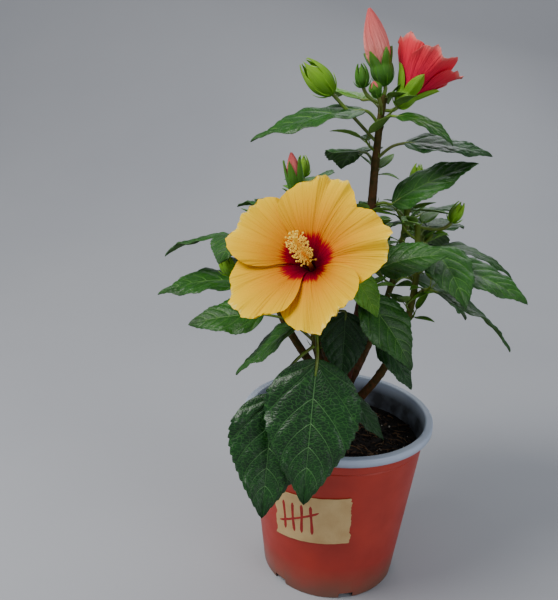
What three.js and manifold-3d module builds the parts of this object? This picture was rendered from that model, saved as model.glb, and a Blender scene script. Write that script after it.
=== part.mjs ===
// A young hibiscus shrub in its plastic pot, in millimetres, +Z up.
// The origin is the middle of the pot's flat underside, and the large yellow bloom looks towards -Y.
// Azimuths are degrees round +Z from +X. Slopes and rises are degrees above the level.

import * as THREE from "three";
import { mergeVertices } from "three/addons/utils/BufferGeometryUtils.js";
import Module from "manifold-3d";

const wasm = await Module();
wasm.setup();

// Pot and soil
const POT_HEIGHT = 155;
const RIM_RADIUS = 85;
const FOOT_RADIUS = 61;
const WALL = 1.8;
const FLOOR = 2.6;
const LIP_HEIGHT = 8;
const LIP_WIDTH = 5;
const LIP_ROUND = 1.4;
const COLLAR_HEIGHT = 18;
const COLLAR_STEP = 0.9;
const NOTCHES = 6;
const NOTCH_FOOT_WIDTH = 21;
const NOTCH_HEAD_WIDTH = 13;
const NOTCH_HEIGHT = 5.5;
const NOTCH_DEPTH = 17;
const NOTCH_TURN = -72;
const SOIL_EDGE = 129;
const SOIL_TOP = 132;
const SOIL_SEAT_RADIUS = 14;
const POT_SIDES = 40;

// Strip of tape on the pot's front
const TAPE_TURN = -103;
const TAPE_SPREAD = 58;
const TAPE_TILT = -8;
const TAPE_LOW = 61;
const TAPE_HIGH = 111;
const TAPE_THICKNESS = 0.8;

// Clearances between neighbouring solids
const GAP = 0.3;
const LEAF_GAP = 7;
const STALK_GAP_SHARE = 0.45;
const LIMB_GAP = 5;
const POT_GAP = 4;

// Woody stems
const TRUNK_FORK_HEIGHT = 182;
const TRUNK_RADIUS = 6;
const ROOT_FLARE = 3.2;
const ROOT_FLARE_FADE = 9;
const TRUNK_LEAN = [4, 1];

// Leaves: the oldest hang low and are large, the youngest stand up and are small
const SPIRAL_STEP = 144;
const LEAF_WIDTH_SHARE = 0.66;
const LEAF_HALF_THICKNESS = 0.75;
const LEAF_STATIONS = 6;
const LEAF_FOLD = 10;
const LEAF_CUP = 0.16;
const PETIOLE_ROOT_RADIUS = 1.5;
const PETIOLE_TIP_RADIUS = 1.1;
const OLD_LEAF = { length: 104, petiole: 36, rise: 12, slope: -28, bend: 48 };
const YOUNG_LEAF = { length: 64, petiole: 18, rise: 48, slope: 12, bend: 34 };
const OUTWARD_PULL = 40;
const SECOND_TRIES = [
  [0, 1],
  [26, 0.94],
  [-26, 0.88],
  [48, 0.8],
];

// Blooms and buds
const YELLOW_RADIUS = 64;
const YELLOW_DEPTH = 32;
const CORAL_RADIUS = 25;
const CORAL_DEPTH = 37;
const PETALS = 5;
const PETAL_HALF_TURN = 49;
const PETAL_HALF_THICKNESS = 0.7;
const BUD_GIRTH_SHARE = 0.32;
const CALYX_GIRTH_SHARE = 0.28;

const COLOURS = {
  pot: { color: 0xa33a24, roughness: 0.5, metalness: 0 },
  soil: { color: 0x2b211b, roughness: 0.95, metalness: 0 },
  tape: { color: 0xc9b083, roughness: 0.7, metalness: 0 },
  bark: { color: 0x5a3a2c, roughness: 0.8, metalness: 0 },
  leaf: { color: 0x2f5a2a, roughness: 0.4, metalness: 0 },
  yellow: { color: 0xf7c52a, roughness: 0.6, metalness: 0 },
};

const radians = THREE.MathUtils.degToRad;
const lerp = THREE.MathUtils.lerp;
const clamp = THREE.MathUtils.clamp;
const vector = (point) => new THREE.Vector3(...point);

// The unit vector at an azimuth and a rise.
function heading(azimuth, rise) {
  const level = Math.cos(radians(rise));
  return new THREE.Vector3(
    level * Math.cos(radians(azimuth)),
    level * Math.sin(radians(azimuth)),
    Math.sin(radians(rise)),
  );
}

// A number from 0 to 1 that depends only on the shoot, the item on it and what it is used for.
function seeded(shoot, item, use) {
  const wave = Math.sin(shoot * 12.9898 + item * 78.233 + use * 37.719) * 43758.5453;
  return wave - Math.floor(wave);
}

const spread = (shoot, item, use, range) => (2 * seeded(shoot, item, use) - 1) * range;

function solidFrom(geometry) {
  geometry.deleteAttribute("normal");
  geometry.deleteAttribute("uv");
  const merged = mergeVertices(geometry, 1e-4);
  const { position } = merged.attributes;
  const mesh = new wasm.Mesh({
    numProp: 3,
    vertProperties: new Float32Array(position.array),
    triVerts: new Uint32Array(merged.index.array),
  });
  return new wasm.Manifold(mesh);
}

function geometryFrom(solid) {
  const mesh = solid.getMesh();
  const positions = new Float32Array(mesh.numVert * 3);
  for (let i = 0; i < mesh.numVert; i++) {
    positions.set(mesh.vertProperties.subarray(i * mesh.numProp, i * mesh.numProp + 3), i * 3);
  }
  const geometry = new THREE.BufferGeometry();
  geometry.setAttribute("position", new THREE.BufferAttribute(positions, 3));
  geometry.setIndex(new THREE.BufferAttribute(new Uint32Array(mesh.triVerts), 1));
  geometry.computeVertexNormals();
  return geometry;
}

// The pieces as one body. The outer surface alone is kept, which fills what they seal between them.
function joined(solids) {
  const whole = solids.reduce((sum, piece) => sum.add(piece));
  return whole.decompose().reduce((most, body) => (body.volume() > most.volume() ? body : most));
}

const plant = new THREE.Group();

function place(name, solid, look) {
  const mesh = new THREE.Mesh(geometryFrom(solid), new THREE.MeshStandardMaterial(look));
  mesh.name = name;
  plant.add(mesh);
}

// Each vertex of a limb is one of a cylinder, whose rings are carried along the curve.
function limb(curve, radiusAt, sides, steps) {
  const geometry = new THREE.CylinderGeometry(1, 1, 1, sides, steps);
  const frames = curve.computeFrenetFrames(steps, false);
  const { position } = geometry.attributes;
  const point = new THREE.Vector3();
  for (let i = 0; i < position.count; i++) {
    const step = Math.round((0.5 + position.getY(i)) * steps);
    const radius = radiusAt(step / steps);
    curve.getPointAt(step / steps, point);
    point.addScaledVector(frames.normals[step], position.getX(i) * radius);
    point.addScaledVector(frames.binormals[step], -position.getZ(i) * radius);
    position.setXYZ(i, point.x, point.y, point.z);
  }
  return solidFrom(geometry);
}

const taper = (root, tip) => (t) => lerp(root, tip, t);
const bow = (start, middle, end) => new THREE.QuadraticBezierCurve3(start, middle, end);

// A curve that leaves its start along a direction and ends at a point.
function bowFrom(start, direction, end) {
  const reach = start.distanceTo(end) * 0.45;
  return bow(start, start.clone().addScaledVector(direction, reach), end);
}

// Pot, soil and tape

const coneRadius = (z) => FOOT_RADIUS + ((RIM_RADIUS - LIP_WIDTH - FOOT_RADIUS) * z) / POT_HEIGHT;

function turned(profile, sides) {
  const geometry = new THREE.LatheGeometry(
    profile.map(([r, z]) => new THREE.Vector2(r, z)),
    sides,
  );
  geometry.rotateX(Math.PI / 2);
  return solidFrom(geometry);
}

function drainNotch(turn) {
  const outline = new THREE.Shape([
    new THREE.Vector2(-NOTCH_FOOT_WIDTH / 2, -1),
    new THREE.Vector2(NOTCH_FOOT_WIDTH / 2, -1),
    new THREE.Vector2(NOTCH_HEAD_WIDTH / 2, NOTCH_HEIGHT),
    new THREE.Vector2(-NOTCH_HEAD_WIDTH / 2, NOTCH_HEIGHT),
  ]);
  const geometry = new THREE.ExtrudeGeometry(outline, { depth: NOTCH_DEPTH, bevelEnabled: false });
  geometry.rotateX(Math.PI / 2);
  geometry.rotateZ(Math.PI / 2);
  geometry.translate(FOOT_RADIUS - NOTCH_DEPTH * 0.6, 0, 0);
  geometry.rotateZ(radians(turn));
  return solidFrom(geometry);
}

function makePot() {
  const collar = POT_HEIGHT - COLLAR_HEIGHT;
  const lipFoot = POT_HEIGHT - LIP_HEIGHT;
  const inside = (z) => coneRadius(z) - WALL;
  const shell = turned(
    [
      [0, 0],
      [FOOT_RADIUS - LIP_ROUND, 0],
      [coneRadius(LIP_ROUND), LIP_ROUND],
      [coneRadius(collar), collar],
      [coneRadius(collar) + COLLAR_STEP, collar + 0.5],
      [coneRadius(lipFoot) + COLLAR_STEP, lipFoot],
      [RIM_RADIUS - LIP_ROUND, lipFoot + 0.4],
      [RIM_RADIUS, lipFoot + LIP_ROUND + 0.4],
      [RIM_RADIUS, POT_HEIGHT - LIP_ROUND],
      [RIM_RADIUS - LIP_ROUND, POT_HEIGHT],
      [inside(POT_HEIGHT) + LIP_ROUND, POT_HEIGHT],
      [inside(POT_HEIGHT), POT_HEIGHT - LIP_ROUND],
      [inside(FLOOR), FLOOR],
      [0, FLOOR],
    ],
    POT_SIDES,
  );
  let pot = shell;
  for (let i = 0; i < NOTCHES; i++) {
    pot = pot.subtract(drainNotch(NOTCH_TURN + (i * 360) / NOTCHES));
  }
  return pot;
}

function makeSoil() {
  const edge = (z) => coneRadius(z) - WALL - 2 * GAP;
  return turned(
    [
      [0, FLOOR + GAP],
      [edge(FLOOR), FLOOR + GAP],
      [edge(SOIL_EDGE), SOIL_EDGE],
      [edge(SOIL_EDGE) * 0.75, SOIL_EDGE + 2],
      [SOIL_SEAT_RADIUS, SOIL_TOP],
      [0, SOIL_TOP],
    ],
    POT_SIDES / 2,
  );
}

function makeTape() {
  const across = 10;
  const geometry = new THREE.BoxGeometry(1, 1, 1, across, 1, 1);
  const { position } = geometry.attributes;
  for (let i = 0; i < position.count; i++) {
    const turn = radians(TAPE_TURN + position.getX(i) * TAPE_SPREAD);
    const z = lerp(TAPE_LOW, TAPE_HIGH, position.getZ(i) + 0.5) - TAPE_TILT * position.getX(i);
    const radius = coneRadius(z) + GAP + TAPE_THICKNESS * (0.5 - position.getY(i));
    position.setXYZ(i, radius * Math.cos(turn), radius * Math.sin(turn), z);
  }
  return solidFrom(geometry);
}

// Space that is taken: points of limbs, of blooms and of leaves that already stand

const limbPoints = [];
const leafPoints = [];

function claimLimb(curve, radiusAt, owner) {
  const steps = Math.ceil(curve.getLength() / 6);
  for (let i = 0; i <= steps; i++) {
    limbPoints.push({ at: curve.getPointAt(i / steps), radius: radiusAt(i / steps), owner });
  }
}

function claimPoints(points, gap) {
  for (const at of points) {
    leafPoints.push({ at, gap });
  }
}

function clearOfPot(point) {
  const reach = Math.hypot(point.x, point.y);
  if (point.z > POT_HEIGHT + POT_GAP) {
    return true;
  }
  const outside = reach > RIM_RADIUS + POT_GAP && point.z > POT_GAP;
  const overSoil = reach < coneRadius(SOIL_TOP) - WALL - POT_GAP && point.z > SOIL_TOP + POT_GAP;
  return outside || overSoil;
}

function isFree(points, owner, gapShare = 1) {
  return points.every(
    (point) =>
      clearOfPot(point) &&
      leafPoints.every((taken) => taken.at.distanceTo(point) > taken.gap * gapShare) &&
      limbPoints.every(
        (taken) =>
          taken.owner === owner || taken.at.distanceTo(point) > taken.radius + LIMB_GAP,
      ),
  );
}

// Leaves

// Half the width of a blade at t along it, as a share of its widest: a round foot and a drawn-out tip.
function bladeShare(t) {
  return Math.sin(Math.PI * t ** 0.66) ** 0.85 * (1 - 0.25 * t ** 3);
}

// A point of the blade: t runs from its foot to its tip, and u from one edge to the other.
// The slope falls evenly by the bend, so the middle line is an arc.
function bladePoint(leaf, t, u, lift = 0) {
  const start = radians(leaf.slope);
  const bend = radians(leaf.bend);
  const now = start - bend * t;
  const level = heading(leaf.azimuth, 0);
  const forward = (Math.sin(start) - Math.sin(now)) / bend;
  const upward = (Math.cos(now) - Math.cos(start)) / bend;
  const along = level.clone().multiplyScalar(Math.cos(now)).setZ(Math.sin(now));
  const up = level.clone().multiplyScalar(-Math.sin(now)).setZ(Math.cos(now));
  const side = new THREE.Vector3().crossVectors(up, along);
  const roll = radians(leaf.roll + leaf.twist * t);
  const rolledUp = up.clone().multiplyScalar(Math.cos(roll)).addScaledVector(side, Math.sin(roll));
  const rolledSide = side.multiplyScalar(Math.cos(roll)).addScaledVector(up, -Math.sin(roll));
  const half = 0.5 * leaf.width * bladeShare(t);
  const fold = radians(LEAF_FOLD);
  const rise = half * (Math.abs(u) * Math.sin(fold) - LEAF_CUP * u * u) + lift;
  return leaf.foot
    .clone()
    .addScaledVector(level, leaf.length * forward)
    .setZ(leaf.foot.z + leaf.length * upward)
    .addScaledVector(rolledSide, half * u * Math.cos(fold))
    .addScaledVector(rolledUp, rise);
}

function bladeProbe(leaf) {
  const points = [];
  for (let i = 1; i <= 9; i++) {
    for (const u of [-1, -0.5, 0, 0.5, 1]) {
      points.push(bladePoint(leaf, i / 9.5, u));
    }
  }
  return points;
}

// A thin closed blade: a ball whose poles are the leaf's foot and tip.
function blade(leaf) {
  const geometry = new THREE.SphereGeometry(1, 4, LEAF_STATIONS);
  const { position } = geometry.attributes;
  for (let i = 0; i < position.count; i++) {
    const t = Math.acos(clamp(position.getY(i), -1, 1)) / Math.PI;
    const ring = Math.max(Math.sin(Math.PI * t), 1e-6);
    const u = clamp(position.getX(i) / ring, -1, 1);
    const v = clamp(position.getZ(i) / ring, -1, 1);
    const point = bladePoint(leaf, t, Math.abs(u) < 1e-3 ? 0 : u, v * LEAF_HALF_THICKNESS);
    position.setXYZ(i, point.x, point.y, point.z);
  }
  return solidFrom(geometry);
}

// A leaf whose blade has a given foot.
function aimedLeaf(node, aim) {
  const foot = vector(aim.foot);
  const knee = node.clone().lerp(foot, 0.55);
  knee.z += 0.12 * node.distanceTo(foot);
  return { twist: 0, ...aim, node, knee, foot, width: aim.length * LEAF_WIDTH_SHARE };
}

// A leaf is a petiole that leaves its node at one rise and turns into the blade's slope.
function leafFrom(node, form) {
  const knee = node.clone().addScaledVector(heading(form.nodeAzimuth, form.rise), form.petiole * 0.6);
  const foot = knee.clone().addScaledVector(heading(form.azimuth, form.slope), form.petiole * 0.4);
  return { ...form, node, knee, foot, width: form.length * LEAF_WIDTH_SHARE };
}

function petioleCurve(leaf) {
  return new THREE.CatmullRomCurve3([leaf.node, leaf.knee, leaf.foot, bladePoint(leaf, 0.12, 0)]);
}

function leafSolid(leaf) {
  const stalk = limb(petioleCurve(leaf), taper(PETIOLE_ROOT_RADIUS, PETIOLE_TIP_RADIUS), 3, 4);
  return blade(leaf).add(stalk);
}

// The form of a leaf from its age (0 the oldest, 1 the youngest), with a seeded spread.
function leafForm(shoot, item, azimuth, age) {
  const pick = (key, use, range) =>
    lerp(OLD_LEAF[key], YOUNG_LEAF[key], age) + spread(shoot, item, use, range);
  return {
    nodeAzimuth: azimuth,
    azimuth: azimuth + spread(shoot, item, 1, 12),
    length: pick("length", 2, 9),
    petiole: pick("petiole", 3, 5),
    rise: pick("rise", 4, 10),
    slope: pick("slope", 5, 14),
    bend: pick("bend", 6, 12),
    roll: spread(shoot, item, 7, 16),
    twist: spread(shoot, item, 8, 14),
  };
}

// The same leaf turned round its node and made smaller, for where its first place is taken.
function variant(form, turn, size) {
  return {
    ...form,
    nodeAzimuth: form.nodeAzimuth + turn,
    azimuth: form.azimuth + turn,
    length: form.length * size,
    petiole: form.petiole * size,
  };
}

// Blooms: five broad petals that open from a funnel, each lying over its neighbour's edge

function frameAlong(axis) {
  const across = new THREE.Vector3(0, 0, 1).cross(axis).normalize();
  return { axis, across, over: axis.clone().cross(across) };
}

function petalPoint(bloom, petal, t, u, lift = 0) {
  const reach = t * (1 - 0.1 * u * u * t);
  const ruffle = bloom.ruffle * reach ** 3 * Math.sin(5.2 * u + 1.9 * petal);
  const radius = 2.5 + (bloom.radius - 2.5) * reach ** bloom.flare;
  const depth = -bloom.depth * (1 - reach) ** bloom.curl + ruffle + 2 * u * reach + lift;
  const halfTurn = lerp(34, PETAL_HALF_TURN, THREE.MathUtils.smoothstep(reach, 0, 0.6));
  const turn = radians(bloom.turn + (petal * 360) / PETALS + u * halfTurn);
  return bloom.centre
    .clone()
    .addScaledVector(bloom.frame.axis, depth)
    .addScaledVector(bloom.frame.across, radius * Math.cos(turn))
    .addScaledVector(bloom.frame.over, radius * Math.sin(turn));
}

function petalProbe(bloom) {
  const points = [];
  for (let petal = 0; petal < PETALS; petal++) {
    for (const t of [0.3, 0.5, 0.65, 0.8, 0.92, 1]) {
      for (const u of [-0.8, -0.4, 0, 0.4, 0.8]) {
        points.push(petalPoint(bloom, petal, t, u));
      }
    }
  }
  return points;
}

// The calyx reaches from behind the throat to its sepals' tips, which stand along the petals.
const calyxFoot = (bloom) =>
  bloom.centre.clone().addScaledVector(bloom.frame.axis, -bloom.depth - bloom.calyx);
const calyxLength = (bloom) => bloom.calyx + bloom.sepals;
const calyxGirth = (bloom) => calyxLength(bloom) * CALYX_GIRTH_SHARE;
const calyxProbe = (bloom) =>
  [0, 0.35, 0.7].map((share) =>
    calyxFoot(bloom).addScaledVector(bloom.frame.axis, share * calyxLength(bloom)),
  );

function claimBloom(bloom) {
  claimPoints(petalProbe(bloom), LEAF_GAP);
  claimPoints(calyxProbe(bloom), calyxGirth(bloom) + LIMB_GAP);
}

function petalSolid(bloom, petal) {
  const geometry = new THREE.SphereGeometry(1, bloom.sides, bloom.rings);
  const { position } = geometry.attributes;
  for (let i = 0; i < position.count; i++) {
    const t = 0.5 - 0.5 * clamp(position.getY(i), -1, 1);
    const ring = Math.max(2 * Math.sqrt(t * (1 - t)), 1e-6);
    const narrow = Math.sqrt(1 - t ** 7);
    const u = clamp(position.getX(i) / ring, -1, 1) * narrow;
    const v = clamp(position.getZ(i) / ring, -1, 1);
    const point = petalPoint(bloom, petal, t, u, v * PETAL_HALF_THICKNESS);
    position.setXYZ(i, point.x, point.y, point.z);
  }
  return solidFrom(geometry);
}

// A spindle along a line, such as a bud or a calyx, fullest at a share of its length.
function spindle(start, end, radius, fullest, sides = 7, steps = 5) {
  const line = new THREE.LineCurve3(start, end);
  const power = Math.log(0.5) / Math.log(fullest);
  const radiusAt = (t) => 0.35 + radius * Math.sin(Math.PI * t ** power) ** 0.8;
  return limb(line, radiusAt, sides, steps);
}

function bloomSolids(bloom) {
  const { axis } = bloom.frame;
  const onAxis = (h) => bloom.centre.clone().addScaledVector(axis, h);
  const pieces = [];
  for (let petal = 0; petal < PETALS; petal++) {
    pieces.push(petalSolid(bloom, petal));
  }
  const throat = -bloom.depth;
  const column = new THREE.LineCurve3(onAxis(throat - 2), onAxis(throat + bloom.column));
  pieces.push(limb(column, taper(2, 1), 6, 2));
  pieces.push(spindle(onAxis(throat + bloom.column * 0.45), onAxis(throat + bloom.column), 3.6, 0.6, 6, 4));
  pieces.push(spindle(calyxFoot(bloom), onAxis(throat + bloom.sepals), calyxGirth(bloom), 0.5));
  return pieces;
}

// A bud: a green calyx with the furled petals standing out of it.
function budSolids(bud) {
  const axis = heading(bud.azimuth, bud.rise);
  const along = (length) => bud.foot.clone().addScaledVector(axis, length);
  const pieces = [spindle(bud.foot, along(bud.calyx), bud.calyx * BUD_GIRTH_SHARE, 0.45)];
  if (bud.petals > 0) {
    pieces.push(spindle(along(bud.calyx * 0.3), along(bud.calyx * 0.5 + bud.petals), bud.girth, 0.42));
  }
  return pieces;
}

const budProbe = (bud) =>
  [0.2, 0.5, 0.9].map((share) =>
    bud.foot
      .clone()
      .addScaledVector(heading(bud.azimuth, bud.rise), share * (bud.calyx * 0.5 + bud.petals)),
  );

function pedicelSolid(curve) {
  return limb(curve, taper(1.3, 1.6), 5, 5);
}

// Trunk and boughs

const trunkCurve = bow(
  new THREE.Vector3(0, 0, SOIL_TOP + GAP),
  new THREE.Vector3(0, 0, SOIL_TOP + 20),
  new THREE.Vector3(...TRUNK_LEAN, TRUNK_FORK_HEIGHT),
);
const trunkLength = trunkCurve.getLength();
const trunkRadius = (extra) => (t) =>
  TRUNK_RADIUS + ROOT_FLARE * Math.exp((-t * trunkLength) / ROOT_FLARE_FADE) + extra;

// Each bough leaves the trunk at a share of its height and ends where its mass of leaves begins.
const BOUGHS = {
  leader: { from: 1, azimuth: 0, rise: 84, end: [12, 0, 246], root: 5.7, tip: 4.5 },
  front: { from: 0.56, azimuth: -112, rise: 42, end: [-20, -36, 226], root: 4.3, tip: 3.3 },
  left: { from: 0.74, azimuth: 180, rise: 40, end: [-50, 2, 232], root: 4.2, tip: 3.2 },
  right: { from: 0.4, azimuth: -12, rise: 40, end: [48, -8, 230], root: 4.2, tip: 3.2 },
  back_left: { from: 0.46, azimuth: 116, rise: 44, end: [-26, 44, 240], root: 4.2, tip: 3.2 },
  back_right: { from: 0.72, azimuth: 52, rise: 44, end: [34, 44, 236], root: 4.1, tip: 3.1 },
};

function growBough(name, bough) {
  const tangent = trunkCurve.getTangentAt(bough.from);
  const start = trunkCurve.getPointAt(bough.from);
  if (bough.from === 1) {
    start.addScaledVector(tangent, GAP);
  }
  const direction = bough.from === 1 ? tangent : heading(bough.azimuth, bough.rise);
  bough.curve = bowFrom(start, direction, vector(bough.end));
  bough.radiusAt = taper(bough.root, bough.tip);
  claimLimb(bough.curve, bough.radiusAt, name);
  const whole = limb(bough.curve, bough.radiusAt, 8, 8);
  if (bough.from === 1) {
    return whole;
  }
  const clearance = limb(trunkCurve, trunkRadius(GAP + 0.1), 10, 6);
  return whole.subtract(clearance);
}

// Masses of leaves: each is a shoot that goes on from a bough, with leaves in a spiral,
// short side twigs from some of its nodes, and the buds that it carries.
const MASSES = {
  crown_mid: {
    on: "leader", seed: 1, tip: [16, 0, 340], root: 4.3, end: 3.7,
    leaves: 6, firstLeaf: 0.08, lastLeaf: 0.88, firstTurn: -60,
    oldest: 0.1, youngest: 0.5, twigs: [], buds: [],
  },
  crown_top: {
    on: "crown_mid", seed: 2, tip: [18, 0, 427], root: 3.6, end: 2.6,
    leaves: 0, twigs: [],
    aims: [
      { from: 0.75, foot: [5, -3, 417], azimuth: -174, slope: -4, bend: 26, length: 94, roll: 8 },
      { from: 0.75, foot: [28, -23, 415], azimuth: -15, slope: 4, bend: 54, length: 50, roll: -8 },
      { from: 0.45, foot: [37, -6, 394], azimuth: -9, slope: 6, bend: 22, length: 68, roll: -12 },
      { from: 0.02, foot: [32, -2, 345], azimuth: -7, slope: 41, bend: 22, length: 74, roll: -24 },
      { from: 0.4, foot: [4, 27, 382], azimuth: 104, slope: 4, bend: 46, length: 76, roll: 8 },
      { from: 0.9, foot: [2, 22, 424], azimuth: 118, slope: 22, bend: 46, length: 54, roll: -6 },
    ],
    buds: [
      { from: 1, foot: [19, 0, 436], azimuth: 180, rise: 73, calyx: 25, petals: 46, girth: 9.5 },
      { from: 0.6, foot: [-21, 0, 428], azimuth: 180, rise: 44, calyx: 34, petals: 0, girth: 0 },
      { from: 0.95, foot: [2, -6, 434], azimuth: 190, rise: 78, calyx: 18, petals: 0, girth: 0 },
      { from: 0.85, foot: [14, -16, 428], azimuth: 205, rise: 64, calyx: 11, petals: 7, girth: 4 },
    ],
    bloom: {
      from: 0.9, centre: [52, 9, 458], azimuth: 24, rise: 57, turn: 20, sides: 8, rings: 5,
      radius: CORAL_RADIUS, depth: CORAL_DEPTH, flare: 0.8, curl: 1.3,
      ruffle: 4, column: 34, calyx: 8, sepals: 19,
    },
  },
  left: {
    on: "left", seed: 3, tip: [-56, -8, 322], root: 3.1, end: 2.2,
    leaves: 7, firstLeaf: 0.3, firstTurn: 150, oldest: 0.5, youngest: 0.9, twigs: [2, 4],
    buds: [
      { from: 1, foot: [-43, -14, 346], azimuth: 200, rise: 78, calyx: 18, petals: 30, girth: 6 },
      { from: 0.5, foot: [-94, -30, 284], azimuth: 190, rise: 68, calyx: 21, petals: 0, girth: 0 },
    ],
  },
  right: {
    on: "right", seed: 4, tip: [54, -2, 328], root: 3.1, end: 2.2,
    leaves: 7, firstLeaf: 0.4, firstTurn: 20, oldest: 0.65, youngest: 1, twigs: [3],
    buds: [{ from: 1, foot: [80, -8, 334], azimuth: 0, rise: 70, calyx: 18, petals: 0, girth: 0 }],
  },
  back_left: {
    on: "back_left", seed: 5, tip: [-44, 66, 336], root: 3.1, end: 2.2,
    leaves: 8, firstLeaf: 0.15, firstTurn: 120, oldest: 0.2, youngest: 0.85, twigs: [1, 4],
    buds: [{ from: 1, foot: [-46, 70, 352], azimuth: 120, rise: 78, calyx: 20, petals: 0, girth: 0 }],
  },
  back_right: {
    on: "back_right", seed: 6, tip: [50, 64, 330], root: 3, end: 2.2,
    leaves: 8, firstLeaf: 0.25, firstTurn: 40, oldest: 0.35, youngest: 0.9, twigs: [2, 5],
    buds: [{ from: 1, foot: [54, 68, 350], azimuth: 60, rise: 76, calyx: 20, petals: 0, girth: 0 }],
  },
};

// The leaves under and beside the yellow bloom, each with the place of its blade's foot.
const FRONT = { solids: [], tip: [-20, -38, 268], root: 3.2, end: 2.6 };
const FRONT_LEAVES = [
  { from: 0.5, foot: [-18, -80, 238], azimuth: -94, slope: -64, bend: 14, length: 112, roll: 2 },
  { from: 0.15, foot: [-50, -77, 205], azimuth: -94, slope: -66, bend: 6, length: 98, roll: 12 },
  { from: 0.65, foot: [1, -39, 263], azimuth: -88, slope: -80, bend: 6, length: 58, roll: 0 },
  { from: 0.8, foot: [14, -50, 280], azimuth: -24, slope: -36, bend: 26, length: 68, roll: -24 },
  { from: 0.6, foot: [-34, -66, 260], azimuth: 176, slope: -38, bend: 14, length: 70, roll: 6 },
  { from: 0.2, foot: [-64, -46, 258], azimuth: 188, slope: 0, bend: 20, length: 62, roll: 26 },
  { from: 0.8, foot: [24, -48, 303], azimuth: -10, slope: 32, bend: 30, length: 54, roll: -36 },
  { from: 0.3, foot: [2, -50, 300], azimuth: -38, slope: -34, bend: 24, length: 42, roll: -20 },
  { from: 0.05, foot: [29, -34, 241], azimuth: -24, slope: -40, bend: 20, length: 50, roll: -10 },
  { from: 0.4, foot: [10, -30, 184], azimuth: -20, slope: -40, bend: 10, length: 46, roll: 0 },
];

// The yellow bloom on its pedicel
const YELLOW = {
  centre: [-34, -76, 320], axis: [-0.24, -0.735, 0.635], turn: 17, sides: 10, rings: 7,
  radius: YELLOW_RADIUS, depth: YELLOW_DEPTH, flare: 1.45, curl: 2.1,
  ruffle: 4, column: 58, calyx: 18, sepals: 9,
};

const shoots = {};

function shootCurve(parent, tip) {
  const curve = parent.curve;
  const tangent = curve.getTangentAt(1);
  const start = curve.getPointAt(1).addScaledVector(tangent, GAP);
  return bowFrom(start, tangent, vector(tip));
}

function makeBloom(bloom) {
  const axis = bloom.axis ? vector(bloom.axis).normalize() : heading(bloom.azimuth, bloom.rise);
  return { ...bloom, centre: vector(bloom.centre), frame: frameAlong(axis) };
}

// A pedicel from a node to the foot of a calyx, which it meets along the calyx's axis.
function pedicelTo(node, foot, axis) {
  const behind = foot.clone().addScaledVector(axis, -0.35 * node.distanceTo(foot));
  const inside = foot.clone().addScaledVector(axis, 3);
  return new THREE.CubicBezierCurve3(node, node.clone().lerp(behind, 0.5), behind, inside);
}

// Blooms and buds take their space before any leaf grows.
function plantFlowers(name, mass) {
  mass.curve = shootCurve(BOUGHS[mass.on] ?? shoots[mass.on], mass.tip);
  mass.radiusAt = taper(mass.root, mass.end);
  shoots[name] = mass;
  claimLimb(mass.curve, mass.radiusAt, name);
  mass.solids = [limb(mass.curve, mass.radiusAt, 7, 8)];
  for (const spec of mass.buds) {
    const bud = { ...spec, foot: vector(spec.foot) };
    const pedicel = pedicelTo(mass.curve.getPointAt(bud.from), bud.foot, heading(bud.azimuth, bud.rise));
    mass.solids.push(pedicelSolid(pedicel), ...budSolids(bud));
    claimLimb(pedicel, () => 1.5, name);
    claimPoints(budProbe(bud), Math.max(bud.girth, bud.calyx * BUD_GIRTH_SHARE) + LIMB_GAP);
  }
  if (mass.bloom) {
    const bloom = makeBloom(mass.bloom);
    const node = mass.curve.getPointAt(bloom.from);
    const pedicel = pedicelTo(node, calyxFoot(bloom), bloom.frame.axis);
    mass.solids.push(pedicelSolid(pedicel), ...bloomSolids(bloom));
    claimBloom(bloom);
  }
}

function tryLeaf(mass, name, leaf) {
  const probe = bladeProbe(leaf);
  const stalk = petioleCurve(leaf);
  const stalkProbe = [0.3, 0.45, 0.6, 0.75].map((t) => stalk.getPointAt(t));
  if (!isFree(probe, name) || !isFree(stalkProbe, name, STALK_GAP_SHARE)) {
    return false;
  }
  claimPoints(probe, LEAF_GAP);
  claimLimb(stalk, () => PETIOLE_ROOT_RADIUS, name);
  mass.solids.push(leafSolid(leaf));
  return true;
}

// Turns an azimuth towards the one that leads away from the trunk, so that leaves face the light.
function outward(azimuth, point) {
  const away = Math.atan2(point.y, point.x);
  const far = clamp(Math.hypot(point.x, point.y) / 50, 0, 1);
  return azimuth + far * OUTWARD_PULL * Math.sin(away - radians(azimuth));
}

function growTwig(name, mass, item, node, azimuth) {
  const length = 34 + 14 * seeded(mass.seed, item, 20);
  const tip = node.clone().addScaledVector(heading(azimuth, 36), length);
  const curve = bow(node, node.clone().addScaledVector(heading(azimuth, 18), length * 0.5), tip);
  const probe = [0.5, 0.75, 1].map((t) => curve.getPointAt(t));
  if (!isFree(probe, name)) {
    return;
  }
  claimLimb(curve, () => 1.8, name);
  mass.solids.push(limb(curve, taper(2, 1.5), 3, 3));
  for (let k = 0; k < 3; k++) {
    const t = 0.6 + 0.2 * k;
    const turn = azimuth + SPIRAL_STEP * (k - 1) * 0.6;
    const form = leafForm(mass.seed + 20, item * 4 + k, turn, 0.45 + 0.2 * k);
    SECOND_TRIES.some(([shift, size]) =>
      tryLeaf(mass, name, leafFrom(curve.getPointAt(t), variant(form, shift, size))),
    );
  }
}

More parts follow.
